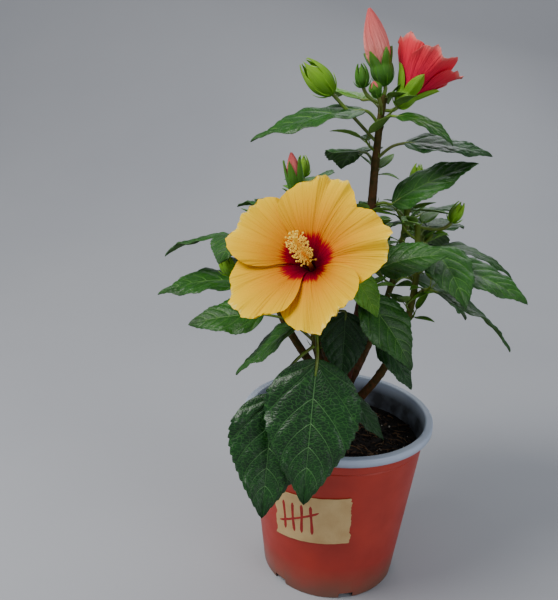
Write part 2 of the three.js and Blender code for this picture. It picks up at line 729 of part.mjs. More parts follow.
function growLeaves(name, mass) {
  for (const aim of mass.aims ?? []) {
    tryLeaf(mass, name, aimedLeaf(mass.curve.getPointAt(aim.from), aim));
  }
  for (let k = 0; k < mass.leaves; k++) {
    const share = k / (mass.leaves - 1);
    const node = mass.curve.getPointAt(lerp(mass.firstLeaf, mass.lastLeaf ?? 0.98, share));
    const azimuth = outward(mass.firstTurn + SPIRAL_STEP * k, node);
    const form = leafForm(mass.seed, k, azimuth, lerp(mass.oldest, mass.youngest, share));
    SECOND_TRIES.some(([turn, size]) => tryLeaf(mass, name, leafFrom(node, variant(form, turn, size))));
    if (mass.twigs.includes(k)) {
      growTwig(name, mass, k, node, azimuth + 24);
    }
  }
}

function growFrontLeaves() {
  for (const row of FRONT_LEAVES) {
    tryLeaf(FRONT, "front_leaves", aimedLeaf(FRONT.curve.getPointAt(row.from), row));
  }
}

function growYellowBloom() {
  const bloom = makeBloom(YELLOW);
  const tangent = FRONT.curve.getTangentAt(1);
  const root = FRONT.curve.getPointAt(1).addScaledVector(tangent, GAP);
  const pedicel = new THREE.CubicBezierCurve3(
    root,
    root.clone().addScaledVector(tangent, 9),
    calyxFoot(bloom).addScaledVector(bloom.frame.axis, -9),
    calyxFoot(bloom).addScaledVector(bloom.frame.axis, 3),
  );
  claimBloom(bloom);
  claimLimb(pedicel, () => 2, "yellow_bloom");
  return joined([limb(pedicel, taper(2.3, 1.9), 6, 6), ...bloomSolids(bloom)]);
}

place("pot", makePot(), COLOURS.pot);
place("soil", makeSoil(), COLOURS.soil);
place("label_tape", makeTape(), COLOURS.tape);

claimLimb(trunkCurve, trunkRadius(0), "trunk");
place("trunk", limb(trunkCurve, trunkRadius(0), 10, 6), COLOURS.bark);
for (const [name, bough] of Object.entries(BOUGHS)) {
  place(`bough_${name}`, growBough(name, bough), COLOURS.bark);
}

FRONT.curve = shootCurve(BOUGHS.front, FRONT.tip);
FRONT.solids = [limb(FRONT.curve, taper(FRONT.root, FRONT.end), 7, 4)];
claimLimb(FRONT.curve, taper(FRONT.root, FRONT.end), "front_leaves");
place("bloom_yellow", growYellowBloom(), COLOURS.yellow);
for (const [name, mass] of Object.entries(MASSES)) {
  plantFlowers(name, mass);
}
growFrontLeaves();
place("foliage_front", joined(FRONT.solids), COLOURS.leaf);
for (const [name, mass] of Object.entries(MASSES)) {
  growLeaves(name, mass);
  place(`foliage_${name}`, joined(mass.solids), COLOURS.leaf);
}

export default plant;
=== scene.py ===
import math
import bpy
import numpy as np
from mathutils import Matrix, Vector, noise


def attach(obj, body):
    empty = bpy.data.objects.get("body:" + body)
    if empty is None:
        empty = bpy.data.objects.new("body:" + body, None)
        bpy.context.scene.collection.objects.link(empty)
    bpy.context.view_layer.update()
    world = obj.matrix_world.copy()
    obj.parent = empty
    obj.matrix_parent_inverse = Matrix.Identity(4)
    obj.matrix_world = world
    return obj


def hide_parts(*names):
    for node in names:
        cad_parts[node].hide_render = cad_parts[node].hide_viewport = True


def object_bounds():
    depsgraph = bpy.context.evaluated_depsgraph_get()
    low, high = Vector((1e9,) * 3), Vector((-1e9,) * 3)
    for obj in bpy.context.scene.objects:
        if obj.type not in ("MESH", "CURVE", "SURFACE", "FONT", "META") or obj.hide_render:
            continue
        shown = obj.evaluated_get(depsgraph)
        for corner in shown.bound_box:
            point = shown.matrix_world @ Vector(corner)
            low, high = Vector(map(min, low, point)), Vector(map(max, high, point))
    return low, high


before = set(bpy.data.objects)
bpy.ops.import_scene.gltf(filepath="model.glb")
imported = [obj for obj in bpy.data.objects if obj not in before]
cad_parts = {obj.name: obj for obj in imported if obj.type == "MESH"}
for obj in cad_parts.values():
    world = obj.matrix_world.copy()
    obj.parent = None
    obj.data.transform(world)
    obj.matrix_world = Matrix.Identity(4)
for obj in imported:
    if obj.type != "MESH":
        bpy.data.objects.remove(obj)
cad_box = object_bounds()

# A young hibiscus shrub in a nursery pot, grown in millimetres and built in metres
MM = 0.001

POT_HEIGHT = 155
RIM_RADIUS = 85
FOOT_RADIUS = 61
WALL = 1.8
FLOOR = 2.6
LIP_HEIGHT = 8
LIP_WIDTH = 5
LIP_ROUND = 1.4
COLLAR_HEIGHT = 18
COLLAR_STEP = 0.9
GROOVE_DEPTH = 0.9
NOTCHES = 6
NOTCH_FOOT_WIDTH = 21
NOTCH_HEAD_WIDTH = 13
NOTCH_HEIGHT = 5.5
NOTCH_DEPTH = 17
NOTCH_TURN = -72
SOIL_EDGE = 129
SOIL_TOP = 132
SOIL_SEAT_RADIUS = 14
TAPE_TURN = -103
TAPE_SPREAD = 58
TAPE_TILT = -8
TAPE_LOW = 61
TAPE_HIGH = 111

GAP = 0.3
LEAF_GAP = 7
STALK_GAP_SHARE = 0.45
LIMB_GAP = 5
POT_GAP = 4

TRUNK_FORK_HEIGHT = 182
TRUNK_RADIUS = 6
ROOT_FLARE = 3.2
ROOT_FLARE_FADE = 9
TRUNK_LEAN = (4, 1)

PEDICEL_CLAIM = 1.5
YELLOW_PEDICEL_CLAIM = 2
TWIG_CLAIM = 1.8
LIMB_CLAIM_STEP = 6

SPIRAL_STEP = 144
LEAF_WIDTH_SHARE = 0.66
SMALL_LEAF_WIDTH_SHARE = 0.46
LEAF_COORDINATE_STEP = 10
LEAF_FOLD = 10
LEAF_CUP = 0.16
PETIOLE_ROOT_RADIUS = 1.5
PETIOLE_TIP_RADIUS = 1.1
OLD_LEAF = {"length": 104, "petiole": 36, "rise": 12, "slope": -28, "bend": 48}
YOUNG_LEAF = {"length": 64, "petiole": 18, "rise": 48, "slope": 12, "bend": 34}
OUTWARD_PULL = 40
SECOND_TRIES = [(0, 1), (26, 0.94), (-26, 0.88), (48, 0.8)]

YELLOW_RADIUS = 64
YELLOW_DEPTH = 32
CORAL_RADIUS = 25
CORAL_DEPTH = 37
PETALS = 5
PETAL_HALF_TURN = 49
THROAT_HALF_TURN = 34
THROAT_RADIUS = 2.5
BUD_GIRTH_SHARE = 0.32
CALYX_GIRTH_SHARE = 0.28

BOUGHS = {
    "leader": dict(start=1, azimuth=0, rise=84, end=(12, 0, 246), root=5.7, tip=4.5),
    "front": dict(start=0.56, azimuth=-112, rise=42, end=(-20, -36, 226), root=4.3, tip=3.3),
    "left": dict(start=0.74, azimuth=180, rise=40, end=(-50, 2, 232), root=4.2, tip=3.2),
    "right": dict(start=0.4, azimuth=-12, rise=40, end=(48, -8, 230), root=4.2, tip=3.2),
    "back_left": dict(start=0.46, azimuth=116, rise=44, end=(-26, 44, 240), root=4.2, tip=3.2),
    "back_right": dict(start=0.72, azimuth=52, rise=44, end=(34, 44, 236), root=4.1, tip=3.1),
}


def aim(start, foot, azimuth, slope, bend, length, roll, shade):
    return dict(start=start, foot=foot, azimuth=azimuth, slope=slope, bend=bend, length=length, roll=roll,
                twist=0, shade=shade)


def bud(start, foot, azimuth, rise, calyx, petals, girth, tall=1.1, loose=0.3, deep=False):
    """A bud with the lengths of its calyx and petals, and how tall, loose and deep green its sepals are."""
    return dict(start=start, foot=foot, azimuth=azimuth, rise=rise, calyx=calyx, petals=petals, girth=girth,
                tall=tall, loose=loose, deep=deep or petals > 0)


MASSES = {
    "crown_mid": dict(
        on="leader", seed=1, tip=(16, 0, 340), root=4.3, end=3.7, leaves=6, first=0.08, last=0.88, turn=-60,
        oldest=0.1, youngest=0.5, twigs=[], aims=[], buds=[]),
    "crown_top": dict(
        on="crown_mid", seed=2, tip=(18, 0, 427), root=3.6, end=2.6, leaves=0, twigs=[],
        aims=[
            aim(0.75, (5, -3, 417), -174, -4, 26, 94, 8, "mid"),
            aim(0.75, (28, -23, 415), -15, 4, 54, 50, -8, "mid"),
            aim(0.45, (37, -6, 394), -9, 6, 22, 68, -12, "dark"),
            aim(0.02, (32, -2, 345), -7, 41, 22, 74, -24, "mid"),
            aim(0.4, (4, 27, 382), 104, 4, 46, 76, 8, "mid"),
            aim(0.9, (2, 22, 424), 118, 22, 46, 54, -6, "young"),
        ],
        buds=[
            bud(1, (19, 0, 436), 180, 73, 25, 46, 9.5),
            bud(0.6, (-21, 0, 428), 180, 44, 34, 0, 0),
            bud(0.95, (2, -6, 434), 190, 78, 18, 0, 0, deep=True),
            bud(0.85, (14, -16, 428), 205, 64, 11, 7, 4),
        ],
        bloom=dict(start=0.9, centre=(52, 9, 458), azimuth=24, rise=57, turn=20, radius=CORAL_RADIUS,
                   depth=CORAL_DEPTH, flare=0.8, curl=1.3, ruffle=4, column=34, calyx=8, sepals=19,
                   crumple=3.0, frills=0.35, fullness=1.14)),
    "left": dict(
        on="left", seed=3, tip=(-56, -8, 322), root=3.1, end=2.2, leaves=7, first=0.3, last=0.98, turn=150,
        oldest=0.5, youngest=0.9, twigs=[2, 4], aims=[],
        buds=[bud(1, (-43, -14, 346), 200, 78, 18, 30, 6, tall=1.85, loose=3),
              bud(0.5, (-94, -30, 284), 190, 68, 21, 0, 0)]),
    "right": dict(
        on="right", seed=4, tip=(54, -2, 328), root=3.1, end=2.2, leaves=7, first=0.4, last=0.98, turn=20,
        oldest=0.65, youngest=1, twigs=[3], aims=[], buds=[bud(1, (80, -8, 334), 0, 70, 18, 0, 0)]),
    "back_left": dict(
        on="back_left", seed=5, tip=(-44, 66, 336), root=3.1, end=2.2, leaves=8, first=0.15, last=0.98,
        turn=120, oldest=0.2, youngest=0.85, twigs=[1, 4], aims=[],
        buds=[bud(1, (-46, 70, 352), 120, 78, 20, 0, 0)]),
    "back_right": dict(
        on="back_right", seed=6, tip=(50, 64, 330), root=3, end=2.2, leaves=8, first=0.25, last=0.98,
        turn=40, oldest=0.35, youngest=0.9, twigs=[2, 5], aims=[],
        buds=[bud(1, (54, 68, 350), 60, 76, 20, 0, 0)]),
}

FRONT = dict(tip=(-20, -38, 268), root=3.2, end=2.6)
FRONT_LEAVES = [
    aim(0.5, (-18, -80, 238), -94, -64, 14, 112, 2, "dark"),
    aim(0.15, (-50, -77, 205), -94, -66, 6, 98, 12, "dark"),
    aim(0.65, (1, -39, 263), -88, -80, 6, 58, 0, "dark"),
    aim(0.8, (14, -50, 280), -24, -36, 26, 68, -24, "mid"),
    aim(0.6, (-34, -66, 260), 176, -38, 14, 70, 6, "mid"),
    aim(0.2, (-64, -46, 258), 188, 0, 20, 62, 26, "mid"),
    aim(0.8, (24, -48, 303), -10, 32, 30, 54, -36, "mid"),
    aim(0.3, (2, -50, 300), -38, -34, 24, 42, -20, "young"),
    aim(0.05, (29, -34, 241), -24, -40, 20, 50, -10, "dark"),
    aim(0.4, (10, -30, 184), -20, -40, 10, 46, 0, "dark"),
]
YELLOW = dict(centre=(-34, -76, 320), axis=(-0.24, -0.735, 0.635), turn=17, radius=YELLOW_RADIUS,
              depth=YELLOW_DEPTH, flare=1.45, curl=2.1, sepals=9, ruffle=4, column=58, calyx=18)


# The growing rule

def heading(azimuth, rise):
    a, r = math.radians(azimuth), math.radians(rise)
    return np.array([math.cos(r) * math.cos(a), math.cos(r) * math.sin(a), math.sin(r)])


def unit(v):
    return v / np.linalg.norm(v)


def seeded(shoot, item, use):
    wave = math.sin(shoot * 12.9898 + item * 78.233 + use * 37.719) * 43758.5453
    return wave - math.floor(wave)


def spread(shoot, item, use, reach):
    return (2 * seeded(shoot, item, use) - 1) * reach


def mix(a, b, t):
    return a + (b - a) * t


def smooth(x, low, high):
    t = np.clip((x - low) / (high - low), 0, 1)
    return t * t * (3 - 2 * t)


def bell(x, width):
    return np.exp(-(x / width) ** 2)


class Line:
    """A curve that is read by its share of the arc length."""

    def __init__(self, at):
        self.at = at
        self.steps = np.linspace(0, 1, 201)
        points = at(self.steps)
        self.run = np.concatenate([[0], np.cumsum(np.linalg.norm(np.diff(points, axis=0), axis=1))])
        self.length = self.run[-1]

    def share(self, u):
        return np.interp(np.asarray(u, float) * self.length, self.run, self.steps)

    def point(self, u):
        return self.at(np.atleast_1d(self.share(u)))[0]

    def points(self, us):
        return self.at(self.share(us))

    def tangent(self, u):
        t = float(self.share(u))
        ends = self.at(np.array([max(t - 1e-4, 0), min(t + 1e-4, 1)]))
        return unit(ends[1] - ends[0])


def bow(a, b, c):
    a, b, c = (np.array(p, float) for p in (a, b, c))

    def at(t):
        t = t[:, None]
        return (1 - t) ** 2 * a + 2 * (1 - t) * t * b + t * t * c
    return Line(at)


def long_bow(a, b, c, d):
    a, b, c, d = (np.array(p, float) for p in (a, b, c, d))

    def at(t):
        t = t[:, None]
        return (1 - t) ** 3 * a + 3 * (1 - t) ** 2 * t * b + 3 * (1 - t) * t * t * c + t ** 3 * d
    return Line(at)


def straight(a, b):
    a, b = np.array(a, float), np.array(b, float)
    return Line(lambda t: a + (b - a) * t[:, None])


def bow_from(start, direction, end):
    end = np.array(end, float)
    return bow(start, start + direction * np.linalg.norm(end - start) * 0.45, end)


def through(points):
    """A smooth curve through points, as a petiole bends."""
    p = [np.array(q, float) for q in points]
    p = [2 * p[0] - p[1]] + p + [2 * p[-1] - p[-2]]

    def at(t):
        out = []
        for x in np.atleast_1d(t) * (len(p) - 3):
            i = min(int(x), len(p) - 4)
            w = x - i
            x0, x1, x2, x3 = p[i:i + 4]
            pairs = ((x0, x1), (x1, x2), (x2, x3))
            d0, d1, d2 = (max(np.sum((b - a) ** 2) ** 0.25, 1e-4) for a, b in pairs)
            t1 = ((x1 - x0) / d0 - (x2 - x0) / (d0 + d1) + (x2 - x1) / d1) * d1
            t2 = ((x2 - x1) / d1 - (x3 - x1) / (d1 + d2) + (x3 - x2) / d2) * d1
            out.append(x1 + t1 * w + (-3 * x1 + 3 * x2 - 2 * t1 - t2) * w * w
                       + (2 * x1 - 2 * x2 + t1 + t2) * w ** 3)
        return np.array(out)
    return Line(at)


def taper(root, tip):
    return lambda t: mix(root, tip, t)


def cone_radius(z):
    return FOOT_RADIUS + (RIM_RADIUS - LIP_WIDTH - FOOT_RADIUS) * z / POT_HEIGHT


limb_points = []
leaf_points = []


def claim_limb(line, radius_at, owner):
    steps = math.ceil(line.length / LIMB_CLAIM_STEP)
    for i in range(steps + 1):
        limb_points.append((line.point(i / steps), radius_at(i / steps), owner))


def claim_points(points, gap):
    leaf_points.extend((p, gap) for p in points)


def clear_of_pot(points):
    reach = np.hypot(points[:, 0], points[:, 1])
    z = points[:, 2]
    above = z > POT_HEIGHT + POT_GAP
    outside = (reach > RIM_RADIUS + POT_GAP) & (z > POT_GAP)
    over_soil = (reach < cone_radius(SOIL_TOP) - WALL - POT_GAP) & (z > SOIL_TOP + POT_GAP)
    return bool(np.all(above | outside | over_soil))


def is_free(points, owner, gap_share=1):
    if not clear_of_pot(points):
        return False
    if leaf_points:
        taken = np.array([p for p, _ in leaf_points])
        gaps = np.array([g for _, g in leaf_points])
        far = np.linalg.norm(points[:, None] - taken[None], axis=2)
        if np.any(far <= gaps[None] * gap_share):
            return False
    others = [(p, r) for p, r, who in limb_points if who != owner]
    taken = np.array([p for p, _ in others])
    reach = np.array([r for _, r in others]) + LIMB_GAP
    far = np.linalg.norm(points[:, None] - taken[None], axis=2)
    return not np.any(far <= reach[None])


def blade_share(t):
    return np.clip(np.sin(np.pi * t ** 0.66), 0, 1) ** 0.85 * (1 - 0.25 * t ** 3)


def blade_points(leaf, t, u, lift=0.0, widen=1.0):
    """Points of a blade: t runs from its foot to its tip, and u from one edge to the other."""
    t, u = np.broadcast_arrays(np.asarray(t, float), np.asarray(u, float))
    start, bend = math.radians(leaf["slope"]), math.radians(leaf["bend"])
    now = start - bend * t
    level = heading(leaf["azimuth"], 0)
    forward = (math.sin(start) - np.sin(now)) / bend
    upward = (np.cos(now) - math.cos(start)) / bend
    rise = np.array([0, 0, 1.0])
    cos, sin = np.cos(now)[..., None], np.sin(now)[..., None]
    along = level * cos + rise * sin
    up = -level * sin + rise * cos
    side = np.cross(up, along)
    roll = np.radians(leaf["roll"] + leaf["twist"] * t)[..., None]
    rolled_up = up * np.cos(roll) + side * np.sin(roll)
    rolled_side = side * np.cos(roll) - up * np.sin(roll)
    half = 0.5 * leaf["width"] * blade_share(t) * widen
    fold = math.radians(LEAF_FOLD)
    height = half * (np.abs(u) * math.sin(fold) - LEAF_CUP * u * u) + lift
    along_rib = level * (leaf["length"] * forward)[..., None]
    middle = leaf["foot"] + along_rib + rise * (leaf["length"] * upward)[..., None]
    return middle + rolled_side * (half * u * math.cos(fold))[..., None] + rolled_up * height[..., None]


def blade_probe(leaf):
    t, u = np.meshgrid(np.arange(1, 10) / 9.5, [-1, -0.5, 0, 0.5, 1], indexing="ij")
    return blade_points(leaf, t, u).reshape(-1, 3)


def aimed_leaf(node, form):
    foot = np.array(form["foot"], float)
    knee = node + (foot - node) * 0.55
    knee[2] += 0.12 * np.linalg.norm(foot - node)
    return {**form, "node": node, "knee": knee, "foot": foot, "width": form["length"] * LEAF_WIDTH_SHARE}


def leaf_from(node, form):
    knee = node + heading(form["node_azimuth"], form["rise"]) * form["petiole"] * 0.6
    foot = knee + heading(form["azimuth"], form["slope"]) * form["petiole"] * 0.4
    return {**form, "node": node, "knee": knee, "foot": foot, "width": form["length"] * LEAF_WIDTH_SHARE}


def petiole_line(leaf):
    return through([leaf["node"], leaf["knee"], leaf["foot"], blade_points(leaf, 0.12, 0)])


def leaf_form(shoot, item, azimuth, age):
    def pick(key, use, reach):
        return mix(OLD_LEAF[key], YOUNG_LEAF[key], age) + spread(shoot, item, use, reach)
    length = pick("length", 2, 9)
    shade = "dark" if age < 0.35 else "mid" if age < 0.72 or length > 60 else "young"
    return dict(node_azimuth=azimuth, azimuth=azimuth + spread(shoot, item, 1, 12), length=length,
                petiole=pick("petiole", 3, 5), rise=pick("rise", 4, 10), slope=pick("slope", 5, 14),
                bend=pick("bend", 6, 12), roll=spread(shoot, item, 7, 16), twist=spread(shoot, item, 8, 14),
                shade=shade)


def variant(form, turn, size):
    return {**form, "node_azimuth": form["node_azimuth"] + turn, "azimuth": form["azimuth"] + turn,
            "length": form["length"] * size, "petiole": form["petiole"] * size}


def frame_along(axis):
    across = unit(np.cross([0, 0, 1.0], axis))
    return dict(axis=axis, across=across, over=np.cross(axis, across))


def across_at(axes, turn):
    return axes["across"] * math.cos(turn) + axes["over"] * math.sin(turn)


def on_axis(foot, axes, height, radius, turn):
    return (foot + axes["axis"] * height[..., None] + axes["across"] * (radius * np.cos(turn))[..., None]
            + axes["over"] * (radius * np.sin(turn))[..., None])


def petal_folds(bloom, petal, t, u, reach):
    """A petal's folds and the frills of its margin, and how far its outline goes in and out."""
    size = bloom["radius"] / YELLOW_RADIUS * bloom.get("crumple", 1)
    free = 0.2 + 0.8 * smooth(u, -1, -0.3)
    broad = 4.2 * np.sin(4.6 * u + 2.3 * petal + 1.2 * np.sin(3 * u + 1.7 * petal) + 2.2 * t)
    narrow = 2.1 * np.sin(9.5 * u + 3.1 * petal + 1.5 * np.sin(4 * u + petal) + 1.3 * t)
    broad = reach ** 2.4 * (broad + narrow)
    frill = 2.0 * reach ** 6 * np.sin(25 * u + 1.7 * petal + 1.5 * np.sin(7 * u + petal) + 3 * t)
    fine = 1.0 * reach ** 12 * np.sin(52 * u + 0.6 * petal + 2 * np.sin(9 * u))
    crepe = 0.18 * reach * np.sin(34 * u + petal + np.sin(5 * t)) * np.sin(6 * t + 2 * u)
    frills = bloom.get("frills", 1)
    uneven_frill = frills * (0.6 + 0.4 * np.sin(4 * u + 2 * petal))
    nicks = 0.02 * np.sin(14 * u + petal + np.sin(5 * u)) + 0.01 * np.sin(41 * u + 2 * petal)
    outline = reach ** 6 * (0.045 * np.sin(5 * u + 2.1 * petal + 1) + frills * nicks)
    over = 3 * reach ** 2 * (smooth(u, 0.2, 1) - smooth(-u, 0.2, 1))
    folds = size * (free * (broad + uneven_frill * (frill + fine)) + crepe + over)
    return folds, outline - 0.015 * reach ** 6


def petal_points(bloom, petal, t, u, lift=0.0, detail=False):
    """Points of a petal: t runs from the throat to the margin, and u from one edge to the other."""
    t, u = np.broadcast_arrays(np.asarray(t, float), np.asarray(u, float))
    reach = t * (1 - 0.1 * u * u * t)
    ruffle = bloom["ruffle"] * reach ** 3 * np.sin(5.2 * u + 1.9 * petal)
    radius = THROAT_RADIUS + (bloom["radius"] - THROAT_RADIUS) * reach ** bloom["flare"]
    if detail:
        folds, outline = petal_folds(bloom, petal, t, u, reach)
        ruffle = ruffle + folds
        radius = radius * (1 + outline) * bloom.get("fullness", 1)
    depth = -bloom["depth"] * (1 - reach) ** bloom["curl"] + ruffle + 2 * u * reach + lift
    half_turn = mix(THROAT_HALF_TURN, PETAL_HALF_TURN, smooth(reach, 0, 0.6))
    turn = np.radians(bloom["turn"] + petal * 360 / PETALS + u * half_turn)
    return on_axis(bloom["centre"], bloom["frame"], depth, radius, turn)


def petal_probe(bloom):
    t, u = np.meshgrid([0.3, 0.5, 0.65, 0.8, 0.92, 1], [-0.8, -0.4, 0, 0.4, 0.8], indexing="ij")
    return np.concatenate([petal_points(bloom, k, t, u).reshape(-1, 3) for k in range(PETALS)])


def make_bloom(bloom):
    if "axis" in bloom:
        axis = unit(np.array(bloom["axis"], float))
    else:
        axis = heading(bloom["azimuth"], bloom["rise"])
    return {**bloom, "centre": np.array(bloom["centre"], float), "frame": frame_along(axis)}


def calyx_foot(bloom):
    return bloom["centre"] - bloom["frame"]["axis"] * (bloom["depth"] + bloom["calyx"])


def claim_bloom(bloom):
    claim_points(petal_probe(bloom), LEAF_GAP)
    length = bloom["calyx"] + bloom["sepals"]
    along = np.array([0, 0.35, 0.7])[:, None] * length
    claim_points(calyx_foot(bloom) + along * bloom["frame"]["axis"], length * CALYX_GIRTH_SHARE + LIMB_GAP)


def pedicel_to(node, foot, axis):
    behind = foot - axis * 0.35 * np.linalg.norm(node - foot)
    return long_bow(node, node + (behind - node) * 0.5, behind, foot + axis * 3)


def shoot_from(line, tip):
    tangent = line.tangent(1)
    return bow_from(line.point(1) + tangent * GAP, tangent, tip)


# What grows, kept for the meshes
leaves = []
twigs = []
pedicels = []
buds = []
blooms = []

trunk_line = bow((0, 0, SOIL_TOP + GAP), (0, 0, SOIL_TOP + 20), (*TRUNK_LEAN, TRUNK_FORK_HEIGHT))


def trunk_radius(t):
    return TRUNK_RADIUS + ROOT_FLARE * np.exp(-t * trunk_line.length / ROOT_FLARE_FADE)


def plant_flowers(name, mass):
    below = BOUGHS[mass["on"]] if mass["on"] in BOUGHS else MASSES[mass["on"]]
    mass["line"] = shoot_from(below["line"], mass["tip"])
    claim_limb(mass["line"], taper(mass["root"], mass["end"]), name)
    for form in mass["buds"]:
        one = {**form, "foot": np.array(form["foot"], float), "mass": name}
        axis = heading(one["azimuth"], one["rise"])
        stalk = pedicel_to(mass["line"].point(one["start"]), one["foot"], axis)
        pedicels.append((stalk, name))
        buds.append(one)
        claim_limb(stalk, taper(PEDICEL_CLAIM, PEDICEL_CLAIM), name)
        reach = one["calyx"] * 0.5 + one["petals"]
        probe = [one["foot"] + axis * share * reach for share in (0.2, 0.5, 0.9)]
        claim_points(probe, max(one["girth"], one["calyx"] * BUD_GIRTH_SHARE) + LIMB_GAP)
    if "bloom" in mass:
        bloom = make_bloom(mass["bloom"])
        node = mass["line"].point(bloom["start"])
        pedicels.append((pedicel_to(node, calyx_foot(bloom), bloom["frame"]["axis"]), name))
        blooms.append((bloom, name))
        claim_bloom(bloom)


def try_leaf(mass_name, owner, leaf):
    probe = blade_probe(leaf)
    stalk = petiole_line(leaf)
    stalk_probe = stalk.points([0.3, 0.45, 0.6, 0.75])
    if not is_free(probe, owner) or not is_free(stalk_probe, owner, STALK_GAP_SHARE):
        return False
    claim_points(probe, LEAF_GAP)
    claim_limb(stalk, taper(PETIOLE_ROOT_RADIUS, PETIOLE_ROOT_RADIUS), owner)
    leaves.append({**leaf, "mass": mass_name, "stalk": stalk, "index": len(leaves)})
    return True


def place_leaf(name, node, form):
    """Places a leaf in the first of its tries that is free."""
    for turn, size in SECOND_TRIES:
        if try_leaf(name, name, leaf_from(node, variant(form, turn, size))):
            return


def outward(azimuth, point):
    away = math.atan2(point[1], point[0])
    far = min(math.hypot(point[0], point[1]) / 50, 1)
    return azimuth + far * OUTWARD_PULL * math.sin(away - math.radians(azimuth))


def grow_twig(name, mass, item, node, azimuth):
    length = 34 + 14 * seeded(mass["seed"], item, 20)
    line = bow(node, node + heading(azimuth, 18) * length * 0.5, node + heading(azimuth, 36) * length)
    if not is_free(line.points([0.5, 0.75, 1]), name):
        return
    claim_limb(line, taper(TWIG_CLAIM, TWIG_CLAIM), name)
    twigs.append((line, name))
    for k in range(3):
        turned = azimuth + SPIRAL_STEP * (k - 1) * 0.6
        form = leaf_form(mass["seed"] + 20, item * 4 + k, turned, 0.45 + 0.2 * k)
        place_leaf(name, line.point(0.6 + 0.2 * k), form)


def grow_leaves(name, mass):
    for form in mass["aims"]:
        try_leaf(name, name, aimed_leaf(mass["line"].point(form["start"]), form))
    for k in range(mass["leaves"]):
        share = k / (mass["leaves"] - 1)
        node = mass["line"].point(mix(mass["first"], mass["last"], share))
        azimuth = outward(mass["turn"] + SPIRAL_STEP * k, node)
        form = leaf_form(mass["seed"], k, azimuth, mix(mass["oldest"], mass["youngest"], share))
        place_leaf(name, node, form)
        if k in mass["twigs"]:
            grow_twig(name, mass, k, node, azimuth + 24)


def grow_boughs():
    for name, bough in BOUGHS.items():
        direction = heading(bough["azimuth"], bough["rise"])
        root = trunk_line.point(bough["start"])
        if bough["start"] == 1:
            direction = trunk_line.tangent(1)
            root = root + direction * GAP
        bough["line"] = bow_from(root, direction, bough["end"])
        claim_limb(bough["line"], taper(bough["root"], bough["tip"]), name)


def grow_yellow_bloom():
    bloom = make_bloom(YELLOW)
    axis = bloom["frame"]["axis"]
    tangent = FRONT["line"].tangent(1)
    root = FRONT["line"].point(1) + tangent * GAP
    foot = calyx_foot(bloom)
    stalk = long_bow(root, root + tangent * 9, foot - axis * 9, foot + axis * 3)
    claim_bloom(bloom)
    claim_limb(stalk, taper(YELLOW_PEDICEL_CLAIM, YELLOW_PEDICEL_CLAIM), "yellow_bloom")
    pedicels.append((stalk, "bloom"))
    blooms.append((bloom, "bloom"))


def grow_plant():
    claim_limb(trunk_line, trunk_radius, "trunk")
    grow_boughs()
    FRONT["line"] = shoot_from(BOUGHS["front"]["line"], FRONT["tip"])
    claim_limb(FRONT["line"], taper(FRONT["root"], FRONT["end"]), "front_leaves")
    grow_yellow_bloom()
    for name, mass in MASSES.items():
        plant_flowers(name, mass)
    for form in FRONT_LEAVES:
        try_leaf("front", "front_leaves", aimed_leaf(FRONT["line"].point(form["start"]), form))
    for name, mass in MASSES.items():
        grow_leaves(name, mass)


grow_plant()


# Finer growth: small leaves and stipules that the limbs carry within the same reach

LOW_CORNER = np.array(cad_box[0]) / MM
HIGH_CORNER = np.array(cad_box[1]) / MM
REACH_MARGIN = 1.5
SMALL_GAP = 3
SMALL_GAP_SHARE = 0.35
TUFT_LEAVES = 5
SHOOT_LEAVES = 3
small_leaves = []
stipules = []
shoots = []


def within_reach(points):
    return bool(np.all(points > LOW_CORNER + REACH_MARGIN) and np.all(points < HIGH_CORNER - REACH_MARGIN))


def small_leaf(seed, item, node, azimuth, length):
    def about(middle, use, reach):
        return middle + spread(seed, item, use, reach)
    form = dict(node_azimuth=azimuth, azimuth=about(azimuth, 31, 25), length=length, petiole=length * 0.3,
                rise=about(50, 32, 20), slope=about(38, 33, 24), bend=about(40, 34, 20),
                roll=about(0, 35, 24), twist=about(0, 36, 12))
    return {**leaf_from(node, form), "width": length * SMALL_LEAF_WIDTH_SHARE}


def try_small_leaf(leaf, owner):
    probe = blade_probe(leaf)
    if within_reach(probe) and is_free(probe[10:], owner, SMALL_GAP_SHARE):
        claim_points(probe[::3], SMALL_GAP)
        small_leaves.append({**leaf, "stalk": petiole_line(leaf), "mass": owner})


def grow_tuft(seed, line, owner):
    """The youngest leaves round a shoot's tip."""
    tip = line.point(1)
    for k in range(TUFT_LEAVES):
        azimuth = 360 * seeded(seed, k, 40) + SPIRAL_STEP * k
        try_small_leaf(small_leaf(seed, k, tip - line.tangent(1) * 1.5 * k, azimuth, 15 + 4.5 * k), owner)


def grow_side_shoots(seed, line, owner, count, low, high):
    """Short shoots between the large leaves, with up to three small leaves each."""
    for k in range(count):
        node = line.point(mix(low, high, (k + 0.5) / count))
        azimuth = 67 + SPIRAL_STEP * k + spread(seed, k, 41, 30)
        length = 9 + 9 * seeded(seed, k, 42)
        tip = node + heading(azimuth, 40) * length
        shoot = bow(node, node + heading(azimuth, 20) * length * 0.5, tip)
        free = is_free(shoot.points([0.7, 1]), owner, SMALL_GAP_SHARE)
        if not (free and within_reach(shoot.points([0.6, 1]))):
            continue
        shoots.append((shoot, owner))
        for i in range(SHOOT_LEAVES):
            item = k * SHOOT_LEAVES + i
            leaf = small_leaf(seed + 50, item, shoot.point(0.55 + 0.22 * i), azimuth - 100 + 100 * i,
                              17 + 11 * seeded(seed, item, 43))
            try_small_leaf(leaf, owner)


